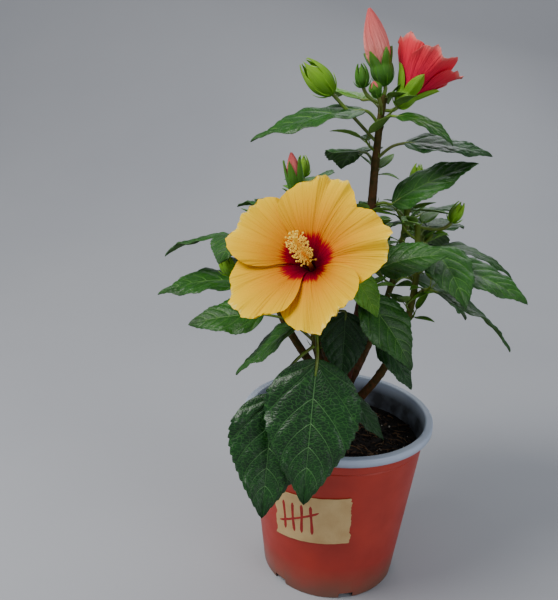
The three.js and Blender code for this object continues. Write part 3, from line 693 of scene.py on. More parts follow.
def grow_stipules():
    """Two thin bracts at the foot of every leaf stalk."""
    for leaf in leaves:
        out = unit(leaf["knee"] - leaf["node"])
        side = unit(np.cross(out, [0, 0, 1.0]))
        for way in (-1, 1):
            root = leaf["node"] + out * 2 + side * way * 1.6
            size = 5 + 2.5 * seeded(leaf["index"], way + 2, 44)
            tip = root + unit(out * 0.5 + side * way * 0.6 + np.array([0, 0, 0.9])) * size
            stipules.append((bow(root, root + out * size * 0.5, tip), leaf["mass"]))


def grow_finer():
    grow_tuft(91, FRONT["line"], "front")
    grow_side_shoots(92, FRONT["line"], "front", 3, 0.2, 0.9)
    for order, (name, mass) in enumerate(MASSES.items()):
        if name != "crown_mid":
            grow_tuft(100 + order, mass["line"], name)
        count = 3 if name == "crown_top" else 7
        grow_side_shoots(120 + order, mass["line"], name, count, 0.1, 0.95)
    for order, (line, name) in enumerate(twigs):
        grow_tuft(140 + order, line, name)
        grow_side_shoots(160 + order, line, name, 2, 0.4, 0.9)
    grow_stipules()


grow_finer()


# Materials

def paint(colour):
    """A colour as a paint chart gives it, from 0 to 255, for a shader."""
    def linear(c):
        c /= 255
        return c / 12.92 if c <= 0.04045 else ((c + 0.055) / 1.055) ** 2.4
    return (*(linear(c) for c in colour), 1)


def feed(tree, node, inputs):
    """Sets a node's inputs by label or number, each to a value or to the socket that feeds it."""
    for label, value in inputs.items():
        if isinstance(value, bpy.types.NodeSocket):
            tree.links.new(value, node.inputs[label])
        else:
            node.inputs[label].default_value = value
    return node


def add_node(tree, kind, inputs):
    return feed(tree, tree.nodes.new("ShaderNode" + kind), inputs)


def worked_out(tree, operation, *values):
    node = tree.nodes.new("ShaderNodeMath")
    node.operation = operation
    return feed(tree, node, dict(enumerate(values))).outputs["Value"]


def mapped(tree, source, low, high, source_low=0, source_high=1):
    """A value carried from one range to another, and held at its ends."""
    steps = add_node(tree, "MapRange", {"Value": source, "From Min": source_low, "From Max": source_high,
                                        "To Min": low, "To Max": high})
    return steps.outputs["Result"]


def blended(tree, share, colour, other):
    node = tree.nodes.new("ShaderNodeMix")
    node.data_type = "RGBA"
    return feed(tree, node, {"Factor": share, "A": colour, "B": other}).outputs["Result"]


def noise_on(tree, place, scale, detail):
    return add_node(tree, "TexNoise", {"Vector": place, "Scale": scale, "Detail": detail}).outputs["Fac"]


def object_place(tree):
    return tree.nodes.new("ShaderNodeTexCoord").outputs["Object"]


def growth_place(tree):
    """A piece's own coordinates, whole, and as its place across and its place along."""
    growth = tree.nodes.new("ShaderNodeUVMap")
    growth.uv_map = "growth"
    whole = growth.outputs["UV"]
    parts = add_node(tree, "SeparateXYZ", {"Vector": whole}).outputs
    return whole, parts["X"], parts["Y"]


def socket_kind(coloured):
    return "NodeSocketColor" if coloured else "NodeSocketFloat"


def blank_group(name, inputs):
    """A node group with named inputs and their first values. A value of four numbers is a colour."""
    group = bpy.data.node_groups.new(name, "ShaderNodeTree")
    for label, value in inputs.items():
        kind = socket_kind(isinstance(value, tuple))
        group.interface.new_socket(name=label, in_out="INPUT", socket_type=kind).default_value = value
    return group, group.nodes.new("NodeGroupInput").outputs


def give_out(group, outputs):
    """Ends a node group with its named outputs."""
    for label, source in outputs.items():
        kind = socket_kind(source.type == "RGBA")
        group.interface.new_socket(name=label, in_out="OUTPUT", socket_type=kind)
    feed(group, group.nodes.new("NodeGroupOutput"), outputs)
    return group


def placed(tree, group, inputs):
    """A node group placed in a material with its own values. Gives its outputs."""
    node = tree.nodes.new("ShaderNodeGroup")
    node.node_tree = group
    return feed(tree, node, inputs).outputs


def mottle_group():
    """Two noises over the surface: a slow one that mixes two colours, and a fine one for grain."""
    light, dark = (0.5, 0.5, 0.5, 1), (0.3, 0.3, 0.3, 1)
    group, given = blank_group("mottled_surface", {
        "Colour": light, "Other colour": dark, "Patch scale": 40, "Grain scale": 900})
    place = object_place(group)
    patches = mapped(group, noise_on(group, place, given["Patch scale"], 4), 0, 1, 0.32, 0.68)
    grain = noise_on(group, place, given["Grain scale"], 3)
    colour = blended(group, patches, given["Colour"], given["Other colour"])
    return give_out(group, {"Colour": colour, "Patches": patches, "Grain": grain})


def vein_net_group():
    """A blade's veins from its own coordinates: a mask of the veins, and the height between them."""
    group, _ = blank_group("vein_net", {})
    _, across, between = growth_place(group)
    centred = worked_out(group, "WRAP", across, LEAF_COORDINATE_STEP / 2, -LEAF_COORDINATE_STEP / 2)
    slanted = worked_out(group, "MULTIPLY_ADD", worked_out(group, "ABSOLUTE", centred), 1.9, between)
    level = add_node(group, "CombineXYZ", {"X": across, "Y": slanted}).outputs["Vector"]
    stretched = add_node(group, "Mapping", {"Vector": level, "Scale": (7.5, 9.5, 1)}).outputs["Vector"]
    net = group.nodes.new("ShaderNodeTexVoronoi")
    net.feature = "DISTANCE_TO_EDGE"
    edge = feed(group, net, {"Vector": stretched, "Scale": 1}).outputs["Distance"]
    # The fine net's pale lines are partly the small veins' own colour and partly painted highlight on their
    # ridges.
    fine_veins_and_glints = mapped(group, edge, 0.62, 0, 0, 0.075)
    side_veins = mapped(group, worked_out(group, "PINGPONG", between, 0.5), 0.7, 0, 0, 0.035)
    return give_out(group, {"Veins and glints": worked_out(group, "MAXIMUM", fine_veins_and_glints, side_veins),
                            "Height": mapped(group, edge, 0, 1, 0, 0.28)})


def streak_group():
    """Streaks along a petal or sepal: its place along, feathered by them, and the streaks alone."""
    group, given = blank_group("growth_streaks", {"Feather": 0.1})
    whole, _, along = growth_place(group)
    stretched = add_node(group, "Mapping", {"Vector": whole, "Scale": (17, 1.1, 1)}).outputs["Vector"]
    lines = noise_on(group, stretched, 1, 3)
    either_way = mapped(group, lines, -1, 1, 0.3, 0.7)
    feathered = worked_out(group, "MULTIPLY_ADD", either_way, given["Feather"], along)
    return give_out(group, {"Place": feathered, "Streaks": mapped(group, lines, 0, 1, 0.34, 0.7)})


def dust_and_shade_group():
    """A colour between two heights, broken up by noise: dusty outside the pot, painted shade in its lining.
    """
    group, given = blank_group("dust_and_shade_by_height", {"Bare height": 0, "Covered height": 1})
    place = object_place(group)
    height = add_node(group, "SeparateXYZ", {"Vector": place}).outputs["Z"]
    cover = mapped(group, height, 0, 1, given["Bare height"], given["Covered height"])
    unevenness = mapped(group, noise_on(group, place, 60, 6), 0.7, 1, 0.35, 0.6)
    return give_out(group, {"Dust and shade": worked_out(group, "MULTIPLY", cover, unevenness)})


MOTTLED = mottle_group()
VEIN_NET = vein_net_group()
GROWTH_STREAKS = streak_group()
DUST_AND_SHADE = dust_and_shade_group()


def blank_material(name):
    finish = bpy.data.materials.new(name)
    finish.use_nodes = True
    return finish, finish.node_tree


def mottled(tree, colour, other, patch_scale, grain_scale):
    return placed(tree, MOTTLED, {"Colour": paint(colour), "Other colour": paint(other),
                                  "Patch scale": patch_scale, "Grain scale": grain_scale})


def give_surface(tree, height, distance, strength, inputs):
    """Ends a material with its surface's inputs, raised by a height."""
    bump = add_node(tree, "Bump", {"Height": height, "Distance": distance, "Strength": strength})
    feed(tree, tree.nodes["Principled BSDF"], {**inputs, "Normal": bump.outputs["Normal"]})


def plain_finish(name, colour, other, roughness, patch_scale=40, grain_scale=900, relief=0.0002,
                 specular=0.5):
    finish, tree = blank_material(name)
    base = mottled(tree, colour, other, patch_scale, grain_scale)
    give_surface(tree, base["Grain"], relief, 0.6, {
        "Base Color": base["Colour"], "Specular IOR Level": specular,
        "Roughness": mapped(tree, base["Patches"], roughness - 0.06, roughness + 0.06)})
    return finish


def leaf_finish(name, colour, other, vein_and_glint, roughness, coat):
    """A blade's face, paler along its veins and swollen between them."""
    finish, tree = blank_material(name)
    base = mottled(tree, colour, other, 55, 700)
    net = placed(tree, VEIN_NET, {})
    # The paler colour along the fine net is partly painted highlight.
    give_surface(tree, net["Height"], 0.0003, 0.5, {
        "Base Color": blended(tree, net["Veins and glints"], base["Colour"], paint(vein_and_glint)), "Specular IOR Level": 0.35,
        "Roughness": mapped(tree, base["Patches"], roughness - 0.05, roughness + 0.07),
        "Coat Weight": coat, "Coat Roughness": 0.3})
    return finish


def ramped(tree, place, stops):
    """A ramp's colours, from its stops' places and colours."""
    ramp = add_node(tree, "ValToRGB", {"Fac": place})
    first, last = ramp.color_ramp.elements
    first.position, first.color = stops[0][0], paint(stops[0][1])
    last.position, last.color = stops[-1][0], paint(stops[-1][1])
    for position, colour in stops[1:-1]:
        ramp.color_ramp.elements.new(position).color = paint(colour)
    return ramp.outputs["Color"]


def petal_finish(name, stops, streak_colour, streaks, feather=0.05, roughness=0.6, eye=-1, specular=0.05):
    """A petal's colours from its throat to its margin, feathered and lined by streaks beyond its eye."""
    finish, tree = blank_material(name)
    lines = placed(tree, GROWTH_STREAKS, {"Feather": feather})
    beyond_eye = mapped(tree, lines["Place"], 0, streaks, eye, eye + 0.06)
    lined = worked_out(tree, "MULTIPLY", beyond_eye, lines["Streaks"])
    colours = blended(tree, lined, ramped(tree, lines["Place"], stops), paint(streak_colour))
    give_surface(tree, lines["Streaks"], 0.0012, 0.6, {
        "Base Color": colours, "Roughness": roughness, "Specular IOR Level": specular})
    return finish


def bark_finish():
    """Reddish brown bark that turns green on the young wood."""
    finish, tree = blank_material("hibiscus_bark")
    base = mottled(tree, (86, 32, 24), (42, 18, 15), 260, 1500)
    _, youth, _ = growth_place(tree)
    give_surface(tree, base["Grain"], 0.0004, 0.7, {
        "Base Color": blended(tree, youth, base["Colour"], paint((92, 122, 40))), "Specular IOR Level": 0.2,
        "Roughness": mapped(tree, base["Patches"], 0.6, 0.85)})
    return finish


def pot_finish(name, colour, other, dust_and_shade, bare_height, covered_height, roughness):
    """Moulded plastic, mottled, with a colour towards one height: dusty outside, painted shade in the lining.
    """
    finish, tree = blank_material(name)
    base = mottled(tree, colour, other, 26, 1400)
    cover = placed(tree, DUST_AND_SHADE, {"Bare height": bare_height * MM, "Covered height": covered_height * MM})
    give_surface(tree, base["Grain"], 0.00008, 0.5, {
        "Base Color": blended(tree, cover["Dust and shade"], base["Colour"], paint(dust_and_shade)),
        "Roughness": mapped(tree, base["Patches"], roughness - 0.07, roughness + 0.08)})
    return finish


LEAF_FINISHES = [
    leaf_finish("leaf_dark_green", (14, 58, 16), (8, 42, 12), (58, 112, 46), 0.36, 0.08),
    leaf_finish("leaf_mid_green", (32, 86, 16), (20, 62, 12), (68, 120, 34), 0.4, 0.06),
    leaf_finish("leaf_young_green", (80, 140, 18), (56, 112, 14), (126, 174, 46), 0.42, 0.05),
    leaf_finish("leaf_underside_green", (66, 98, 52), (50, 82, 42), (104, 134, 78), 0.62, 0),
    leaf_finish("leaf_underside_young", (98, 140, 50), (80, 122, 42), (136, 168, 78), 0.6, 0),
]
SHADES = {"dark": 0, "mid": 1, "young": 2}
UNDERSIDES = {"dark": 3, "mid": 3, "young": 4}
VEIN_FINISHES = [
    plain_finish("vein_deep_green", (72, 118, 58), (58, 100, 50), 0.45),
    plain_finish("vein_mid_green", (98, 148, 56), (82, 128, 50), 0.45),
    plain_finish("vein_light_green", (140, 182, 66), (122, 164, 60), 0.45),
]
BARK = bark_finish()
STALK_GREEN = plain_finish("green_stalk", (104, 142, 40), (92, 96, 36), 0.45, 90)
CALYX_DEEP = petal_finish("calyx_deep_green", [
    (0, (52, 108, 18)), (0.5, (74, 134, 24)), (1, (98, 158, 34))],
    (36, 84, 16), 0.5, 0.06, 0.45, specular=0.4)
CALYX_BRIGHT = petal_finish("calyx_bright_green", [
    (0, (96, 150, 20)), (0.5, (128, 184, 28)), (1, (150, 200, 40))],
    (72, 126, 16), 0.45, 0.06, 0.45, specular=0.4)
# The gold deepens towards the eye partly as the petal's own colour and partly as painted shade.
# The palest stop, at the very margin, is a painted highlight: the bright rim of the lit thin edges.
YELLOW_PETAL = petal_finish("petal_golden_yellow", [
    (0, (54, 0, 16)), (0.22, (102, 0, 28)), (0.385, (150, 0, 38)), (0.415, (176, 20, 26)),
    (0.46, (214, 128, 0)), (0.6, (224, 150, 0)), (0.76, (234, 174, 0)), (0.9, (242, 194, 0)),
    (0.975, (250, 210, 20)), (1, (254, 230, 110))],
    (216, 132, 0), 0.25, 0.045, eye=0.44)
SALMON_PETAL = petal_finish("petal_salmon_red", [
    (0, (160, 6, 50)), (0.25, (222, 34, 76)), (0.7, (234, 50, 70)), (0.88, (242, 76, 84)),
    (1, (252, 156, 142))], (190, 18, 48), 0.5)
FURLED_PETAL = petal_finish("furled_petal_salmon", [
    (0, (252, 186, 160)), (0.5, (252, 150, 142)), (1, (244, 114, 112))], (184, 44, 56), 0.6)
POLLEN = plain_finish("pollen_yellow", (255, 224, 84), (252, 196, 40), 0.75, 300)
COLUMN = petal_finish("column_red_to_yellow", [
    (0, (120, 0, 24)), (0.14, (180, 30, 20)), (0.3, (250, 164, 20)), (1, (255, 204, 40))],
    (244, 150, 20), 0.3, 0.02)


# Meshes of many small things

class Stock:
    """Points and faces of small things that are joined into one mesh."""

    def __init__(self):
        self.points, self.faces, self.marks, self.coords, self.count = [], [], [], [], 0

    def add(self, points, faces, mark=0, coords=None):
        points = np.asarray(points, float).reshape(-1, 3)
        self.points.append(points)
        self.faces.extend([index + self.count for index in face] for face in faces)
        self.marks.extend([mark] * len(faces))
        coords = np.zeros((len(points), 2)) if coords is None else np.asarray(coords)
        self.coords.append(coords.reshape(-1, 2))
        self.count += len(points)

    def shell(self, top, bottom, marks=(0, 0), coords=None):
        """A thin closed sheet from its two faces, each a grid of points."""
        rows, columns = top.shape[:2]
        start = self.count
        index = np.arange(rows * columns).reshape(rows, columns)
        a, b, c, d = index[:-1, :-1], index[1:, :-1], index[1:, 1:], index[:-1, 1:]
        upper = np.stack([a, b, c, d], axis=-1).reshape(-1, 4)
        self.add(top, upper.tolist(), marks[0], coords)
        self.add(bottom, upper[:, ::-1].tolist(), marks[1], coords)
        edge = np.concatenate([index[0, :-1], index[:-1, -1], index[-1, :0:-1], index[:0:-1, 0]]) + start
        after = np.roll(edge, -1)
        under = rows * columns
        rim = np.stack([edge, after, after + under, edge + under], axis=-1).tolist()
        self.faces.extend(rim)
        self.marks.extend([marks[1]] * len(rim))

    def rings(self, rings, mark=0, coords=None):
        """A closed skin over a row of rings that turn anticlockwise round their way."""
        rows, sides = rings.shape[:2]
        index = np.arange(rows * sides).reshape(rows, sides)
        after = np.roll(index, -1, axis=1)
        skin = np.stack([index[:-1], after[:-1], after[1:], index[1:]], axis=-1).reshape(-1, 4).tolist()
        self.add(rings, skin + [index[0][::-1].tolist(), index[-1].tolist()], mark, coords)

    def tube(self, points, radii, sides, mark=0, youth=0.0, relief=None):
        centres, ways = np.asarray(points), along_of(points)
        first, second = frames_of(ways)
        turn = np.arange(sides) * 2 * np.pi / sides
        reach = np.asarray(radii)[:, None] * np.ones(sides)
        if relief is not None:
            reach = reach * relief(centres, turn)
        out = np.cos(turn)[None, :, None] * first[:, None] + np.sin(turn)[None, :, None] * second[:, None]
        ages = np.broadcast_to(youth, (len(centres),))
        along = np.linspace(0, 1, len(centres))
        coords = np.repeat(np.stack([ages, along], axis=-1)[:, None], sides, axis=1)
        self.rings(centres[:, None] + reach[..., None] * out, mark, coords)

    def strip(self, centres, ups, width, height, mark=0):
        """A slim rib along a line on a surface, proud of it on both sides."""
        ways = along_of(centres)
        across = np.cross(ways, ups)
        across /= np.linalg.norm(across, axis=1)[:, None]
        side, rise = across * width[:, None], ups * height[:, None]
        self.rings(np.stack([centres + rise, centres + side, centres - rise, centres - side], axis=1), mark)

    def build(self, name, finishes, slot, nodes, flat=False):
        mesh = bpy.data.meshes.new(name)
        points = np.clip(np.concatenate(self.points), LOW_CORNER, HIGH_CORNER)
        mesh.from_pydata((points * MM).tolist(), [], self.faces)
        for finish in finishes:
            mesh.materials.append(finish)
        mesh.polygons.foreach_set("material_index", self.marks)
        corners = np.zeros(len(mesh.loops), int)
        mesh.loops.foreach_get("vertex_index", corners)
        growth = mesh.uv_layers.new(name="growth")
        growth.data.foreach_set("uv", np.concatenate(self.coords)[corners].astype(np.float32).ravel())
        mesh.update()
        if not flat:
            mesh.shade_smooth()
        piece = bpy.data.objects.new(name, mesh)
        bpy.context.scene.collection.objects.link(piece)
        settle(piece, nodes)


def along_of(points):
    points = np.asarray(points)
    ways = np.gradient(points, axis=0)
    return ways / np.linalg.norm(ways, axis=1)[:, None]


def frames_of(ways):
    """Two directions across each step of a line, carried along it without twist."""
    start = np.array([0, 0, 1.0]) if abs(ways[0][2]) < 0.8 else np.array([1.0, 0, 0])
    first = [unit(start - ways[0] * np.dot(start, ways[0]))]
    for way in ways[1:]:
        first.append(unit(first[-1] - way * np.dot(first[-1], way)))
    first = np.array(first)
    return first, np.cross(ways, first)


def settle(piece, nodes):
    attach(piece, "root")
    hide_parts(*nodes)


# Leaves

# Side veins: where each leaves the middle rib, and how much further along it meets the margin
LATERAL_VEINS = [(0.012, 0.16), (0.022, 0.42), (0.27, 0.34), (0.44, 0.29), (0.6, 0.22), (0.74, 0.15)]
VEIN_CURVE = 1.15
TEETH = 12
TOOTH_STATIONS = [0, 0.3, 0.6, 0.86]
TOOTH_HEIGHTS = [0, 0.42, 0.8, 1]
FIRST_TOOTH = 0.2
LAST_TOOTH = 0.98
TOOTH_REACH = 0.045
BLADE_START = 0.004
BLADE_END = 0.9985
BLADE_HALF_THICKNESS = 0.22
SMALL_BLADE_HALF_THICKNESS = 0.14
BLADE_COLUMNS = 31


def margin_stations():
    """Where a blade's rows meet its margin, and how far a tooth stands out there."""
    pitch = (LAST_TOOTH - FIRST_TOOTH) / TEETH
    plain = [(t, 0) for t in np.linspace(BLADE_START, FIRST_TOOTH, 10)[:-1]]
    toothed = [(FIRST_TOOTH + (k + phase) * pitch, height) for k in range(TEETH)
               for phase, height in zip(TOOTH_STATIONS, TOOTH_HEIGHTS)]
    return np.array(plain + toothed + [(LAST_TOOTH + 0.006, 0), (BLADE_END, 0)])


def vein_tracks():
    """The side veins, each with its end moved to the nearest row of the margin."""
    stations = margin_stations()[:, 0]
    ends = [stations[np.argmin(np.abs(stations - start - reach))] for start, reach in LATERAL_VEINS]
    inner = [(start, end - start) for (start, _), end in zip(LATERAL_VEINS, ends)]
    return [(BLADE_START, 0)] + inner + [(BLADE_END, 0)]


BLADE_STATIONS = margin_stations()
BLADE_TRACKS = vein_tracks()
BLADE_ACROSS = np.sin(np.linspace(-0.5, 0.5, BLADE_COLUMNS) * np.pi * 0.9) / math.sin(0.45 * np.pi)


def track(number, u):
    start, reach = BLADE_TRACKS[number]
    return start + reach * np.abs(u) ** VEIN_CURVE


def blade_grid():
    """Rows that fan out like the side veins, so that every vein lies on a row.

    Gives each point's place along the blade, its place between the veins, and its tooth's height.
    """
    ends = [start + reach for start, reach in BLADE_TRACKS]
    place, between, tooth = [], [], []
    for station, height in BLADE_STATIONS:
        number = min(int(np.searchsorted(ends, station + 1e-9, side="right")) - 1, len(ends) - 2)
        share = (station - ends[number]) / (ends[number + 1] - ends[number])
        place.append(mix(track(number, BLADE_ACROSS), track(number + 1, BLADE_ACROSS), share))
        between.append(np.full(BLADE_COLUMNS, number + share))
        tooth.append(np.full(BLADE_COLUMNS, height))
    return np.array(place), np.array(between), np.array(tooth)


BLADE_PLACE, BLADE_BETWEEN, BLADE_TOOTH = blade_grid()


def quilting(between, u):
    """How the blade swells between its side veins, with small puckers along them."""
    side = np.abs(u)
    share = between - np.floor(between)
    wide = np.clip((side + 0.25) * (np.floor(between) > 0) + 0.15, 0, 1)
    pucker = 1 + 0.3 * np.sin(2 * np.pi * (side * 4.6 + 0.35 * share + 0.3 * np.floor(between)))
    swell = np.sin(np.pi * share) ** 0.7 * wide * pucker
    return swell * (1 - np.exp(-side / 0.07)) * np.clip((1.04 - side) / 0.16, 0, 1)


def blade_waves(leaf, t, u):
    """The slow waves of a blade's margin."""
    size = leaf["length"] / 100
    phase = 6.28 * seeded(leaf["index"], 3, 60)
    slow = 2.2 * np.sin(2 * np.pi * 1.6 * t + phase + 1.4 * np.sign(u))
    quick = 1.2 * np.sin(2 * np.pi * 4.1 * t + 2.1 * phase - np.sign(u))
    return np.abs(u) ** 2.5 * size * (slow + quick) * np.sin(np.pi * np.clip(t, 0, 1)) ** 0.5


def leaf_surface(leaf, t, u, between, lift=0.0, tooth=0.0):
    size = leaf["length"] / 100
    rise = 1.5 * size * quilting(between, u) - 0.3 * size * bell(u, 0.05) + blade_waves(leaf, t, u)
    share = np.maximum(blade_share(t), 0.02)
    widen = 1 + tooth * TOOTH_REACH * np.clip((np.abs(u) - 0.8) / 0.2, 0, 1) * share ** -0.7
    return blade_points(leaf, t, u, rise + lift, widen)


def add_blade(stock, leaf):
    u = np.broadcast_to(BLADE_ACROSS, BLADE_PLACE.shape)
    half = BLADE_HALF_THICKNESS * (0.6 + 0.4 * leaf["length"] / 100)
    top = leaf_surface(leaf, BLADE_PLACE, u, BLADE_BETWEEN, half, BLADE_TOOTH)
    bottom = leaf_surface(leaf, BLADE_PLACE, u, BLADE_BETWEEN, -half, BLADE_TOOTH)
    coords = np.stack([u + LEAF_COORDINATE_STEP * (leaf["index"] % 7), BLADE_BETWEEN], axis=-1)
    stock.shell(top, bottom, (SHADES[leaf["shade"]], UNDERSIDES[leaf["shade"]]), coords)


def rib(stock, leaf, t, u, between, width, mark):
    centres = leaf_surface(leaf, t, u, between)
    ups = leaf_surface(leaf, t, u, between, 1.0) - centres
    ups /= np.linalg.norm(ups, axis=1)[:, None]
    stock.strip(centres, ups, width, 0.3 + 0.4 * width, mark)


def add_veins(stock, leaf):
    """The middle rib and the side veins, on the blade's own rows and columns."""
    mark = SHADES[leaf["shade"]]
    size = leaf["length"] / 100
    middle = BLADE_COLUMNS // 2
    t = BLADE_PLACE[:-3, middle]
    rib(stock, leaf, t, np.zeros_like(t), BLADE_BETWEEN[:-3, middle], size * mix(1.0, 0.25, t), mark)
    for number in range(1, len(BLADE_TRACKS) - 1):
        for columns in (range(middle, 1, -1), range(middle, BLADE_COLUMNS - 2)):
            u = BLADE_ACROSS[list(columns)]
            t = track(number, u)
            rib(stock, leaf, t, u, np.full_like(u, number), size * mix(0.55, 0.16, np.abs(u)), mark)


def add_small_blade(stock, leaf):
    stations = [0.01, 0.1, 0.25, 0.42, 0.6, 0.78, 0.9, 0.985]
    t, u = np.meshgrid(stations, [-1, -0.5, 0, 0.5, 1], indexing="ij")
    fold = -0.12 * leaf["width"] * bell(u, 0.2) * np.sin(np.pi * t)
    half = SMALL_BLADE_HALF_THICKNESS
    coords = np.stack([u, (len(BLADE_TRACKS) - 1) * t], axis=-1)
    top, bottom = blade_points(leaf, t, u, fold + half), blade_points(leaf, t, u, fold - half)
    stock.shell(top, bottom, (SHADES["young"], UNDERSIDES["young"]), coords)


# Stems, twigs and stalks

NODE_SWELL = 0.35
NODE_SWELL_WIDTH = 1.8
# How far a limb's rounded tip stands ahead and how wide it is there, in radii of its end
ROUND_TIP = [(0.35, 0.92), (0.7, 0.7), (0.95, 0.3)]
# How green the wood is at a mass's foot and at its tip
MASS_YOUTH = {"crown_mid": (0.05, 0.1), "crown_top": (0.08, 0.3)}
SIDE_MASS_YOUTH = (0.2, 0.75)


def furrowed(centres, turn):
    """The bark's relief: furrows along a limb, and a slow unevenness."""
    run = np.concatenate([[0], np.cumsum(np.linalg.norm(np.diff(centres, axis=0), axis=1))])[:, None]
    phase = centres[0, 0] + centres[0, 1]
    a = turn[None, :]
    ridges = 0.022 * np.sin(7 * a + 0.22 * run + phase)
    furrows = 0.018 * np.sin(11 * a - 0.31 * run + 2 * np.sin(0.5 * run))
    uneven = 0.02 * np.sin(3 * a + 0.6 * np.sin(0.17 * run + phase)) + 0.015 * np.sin(0.9 * run + 2 * a)
    return 1 + ridges + furrows + uneven


def node_swell(points, near):
    """How a stem thickens where stalks leave it."""
    swell = np.zeros(len(points))
    for place in near:
        swell += NODE_SWELL * bell(np.linalg.norm(points - place, axis=1), NODE_SWELL_WIDTH)
    return swell


def wood(stock, line, radius_at, sides, step=1.3, youth=(0, 0), back=0.8, near=()):
    """A limb's bark, from a start a little back inside what carries it to a rounded tip."""
    shares = np.linspace(0, 1, max(int(line.length / step), 4))
    points = line.points(shares)
    radii = radius_at(shares) + node_swell(points, near)
    if back:
        points = np.vstack([points[0] - line.tangent(0) * back, points])
        radii = np.concatenate([[radii[0]], radii])
    tip, way, end = points[-1], line.tangent(1), radii[-1]
    points = np.vstack([points] + [tip + way * end * ahead for ahead, _ in ROUND_TIP])
    radii = np.concatenate([radii, [end * share for _, share in ROUND_TIP]])
    stock.tube(points, radii, sides, 0, np.linspace(*youth, len(points)), furrowed)


def nodes_on(owner):
    return [leaf["node"] for leaf in leaves + small_leaves if leaf["mass"] == owner]


# Flowers and buds

PETAL_ROWS = 48
PETAL_COLUMNS = 81
PETAL_HALF_THICKNESS = 0.18
SEPAL_ROWS = 22
SEPAL_COLUMNS = 15
SEPAL_HALF_TURN = 38
FULLEST_CALYX = 0.45
FULLEST_BUD = 0.42
BRACTS = 7
GOLDEN_TURN = 2.39996


def closer_at_edges(count):
    """Places from -1 to 1 that lie closer together towards both ends."""
    return np.sin(np.linspace(-0.5, 0.5, count) * np.pi)


def spindle_radius(share, girth, fullest):
    power = math.log(0.5) / math.log(fullest)
    return 0.35 + girth * np.clip(np.sin(np.pi * np.clip(share, 0, 1) ** power), 0, 1) ** 0.8


def add_petal(stock, bloom, petal):
    s = np.linspace(0, 1, PETAL_ROWS)
    t = 0.02 + 0.978 * (1 - (1 - s) ** 1.7)
    t_grid, v_grid = np.meshgrid(t, closer_at_edges(PETAL_COLUMNS), indexing="ij")
    u = v_grid * np.sqrt(1 - t_grid ** 7)
    top = petal_points(bloom, petal, t_grid, u, PETAL_HALF_THICKNESS, detail=True)
    bottom = petal_points(bloom, petal, t_grid, u, -PETAL_HALF_THICKNESS, detail=True)
    place = t_grid + 0.1 * u * u * (1 - t_grid)
    stock.shell(top, bottom, (0, 0), np.stack([u + 2 * petal, place], axis=-1))


def twenty_faces():
    """The corners and faces of a ball of twenty triangles."""
    g = (1 + 5 ** 0.5) / 2
    corners = np.array([(-1, g, 0), (1, g, 0), (-1, -g, 0), (1, -g, 0), (0, -1, g), (0, 1, g), (0, -1, -g),
                        (0, 1, -g), (g, 0, -1), (g, 0, 1), (-g, 0, -1), (-g, 0, 1)], float)
    faces = [(0, 11, 5), (0, 5, 1), (0, 1, 7), (0, 7, 10), (0, 10, 11), (1, 5, 9), (5, 11, 4), (11, 10, 2),
             (10, 7, 6), (7, 1, 8), (3, 9, 4), (3, 4, 2), (3, 2, 6), (3, 6, 8), (3, 8, 9), (4, 9, 5),
             (2, 4, 11), (6, 2, 10), (8, 6, 7), (9, 8, 1)]
    return corners / np.linalg.norm(corners[0]), faces


GRAIN_CORNERS, GRAIN_FACES = twenty_faces()


def add_grain(stock, centre, radius):
    stock.add(GRAIN_CORNERS * radius + centre, GRAIN_FACES, 1)


def add_column(stock, bloom, stamens, size):
    """The column that stands out of the throat, with its stamens and five stigmas."""
    axes, throat = bloom["frame"], -bloom["depth"]
    ahead = axes["axis"] * size
    root = bloom["centre"] + axes["axis"] * (throat - 2)
    tip = bloom["centre"] + axes["axis"] * (throat + bloom["column"] - 5 * size)
    line = straight(root, tip)
    shares = np.linspace(0, 1, 16)
    stock.tube(line.points(shares), mix(1.9, 0.9, shares) * size, 12)
    for k in range(stamens):
        out = across_at(axes, GOLDEN_TURN * k + 0.5 * seeded(7, k, 50))
        start = line.point(mix(0.36, 0.97, (k + 0.5) / stamens)) + out * 0.8 * size
        length = (3.4 + 2.8 * seeded(7, k, 51)) * size
        end = start + out * length + ahead * (0.9 + 1.6 * seeded(7, k, 52))
        stock.tube(bow(start, start + out * length * 0.6, end).points([0, 0.5, 1]), [0.26 * size] * 3, 5, 1)
        add_grain(stock, end, 0.78 * size)
    for k in range(5):
        end = tip + ahead * 4 + across_at(axes, 2 * np.pi * k / 5 + 0.4) * 2.2 * size
        stigma = bow(tip - axes["axis"], tip + ahead * 3, end)
        stock.tube(stigma.points([0, 0.4, 0.7, 1]), [0.4 * size] * 4, 6, 1)
        add_grain(stock, end, 0.95 * size)


def funnel_radius(bloom, ahead):
    """How wide the petals' funnel is at a height ahead of the throat."""
    depth = bloom["depth"]
    reach = 1 - np.clip(1 - ahead / depth, 0, 1) ** (1 / bloom["curl"])
    return np.where(ahead > 0, THROAT_RADIUS + (bloom["radius"] - THROAT_RADIUS) * reach ** bloom["flare"], 0)


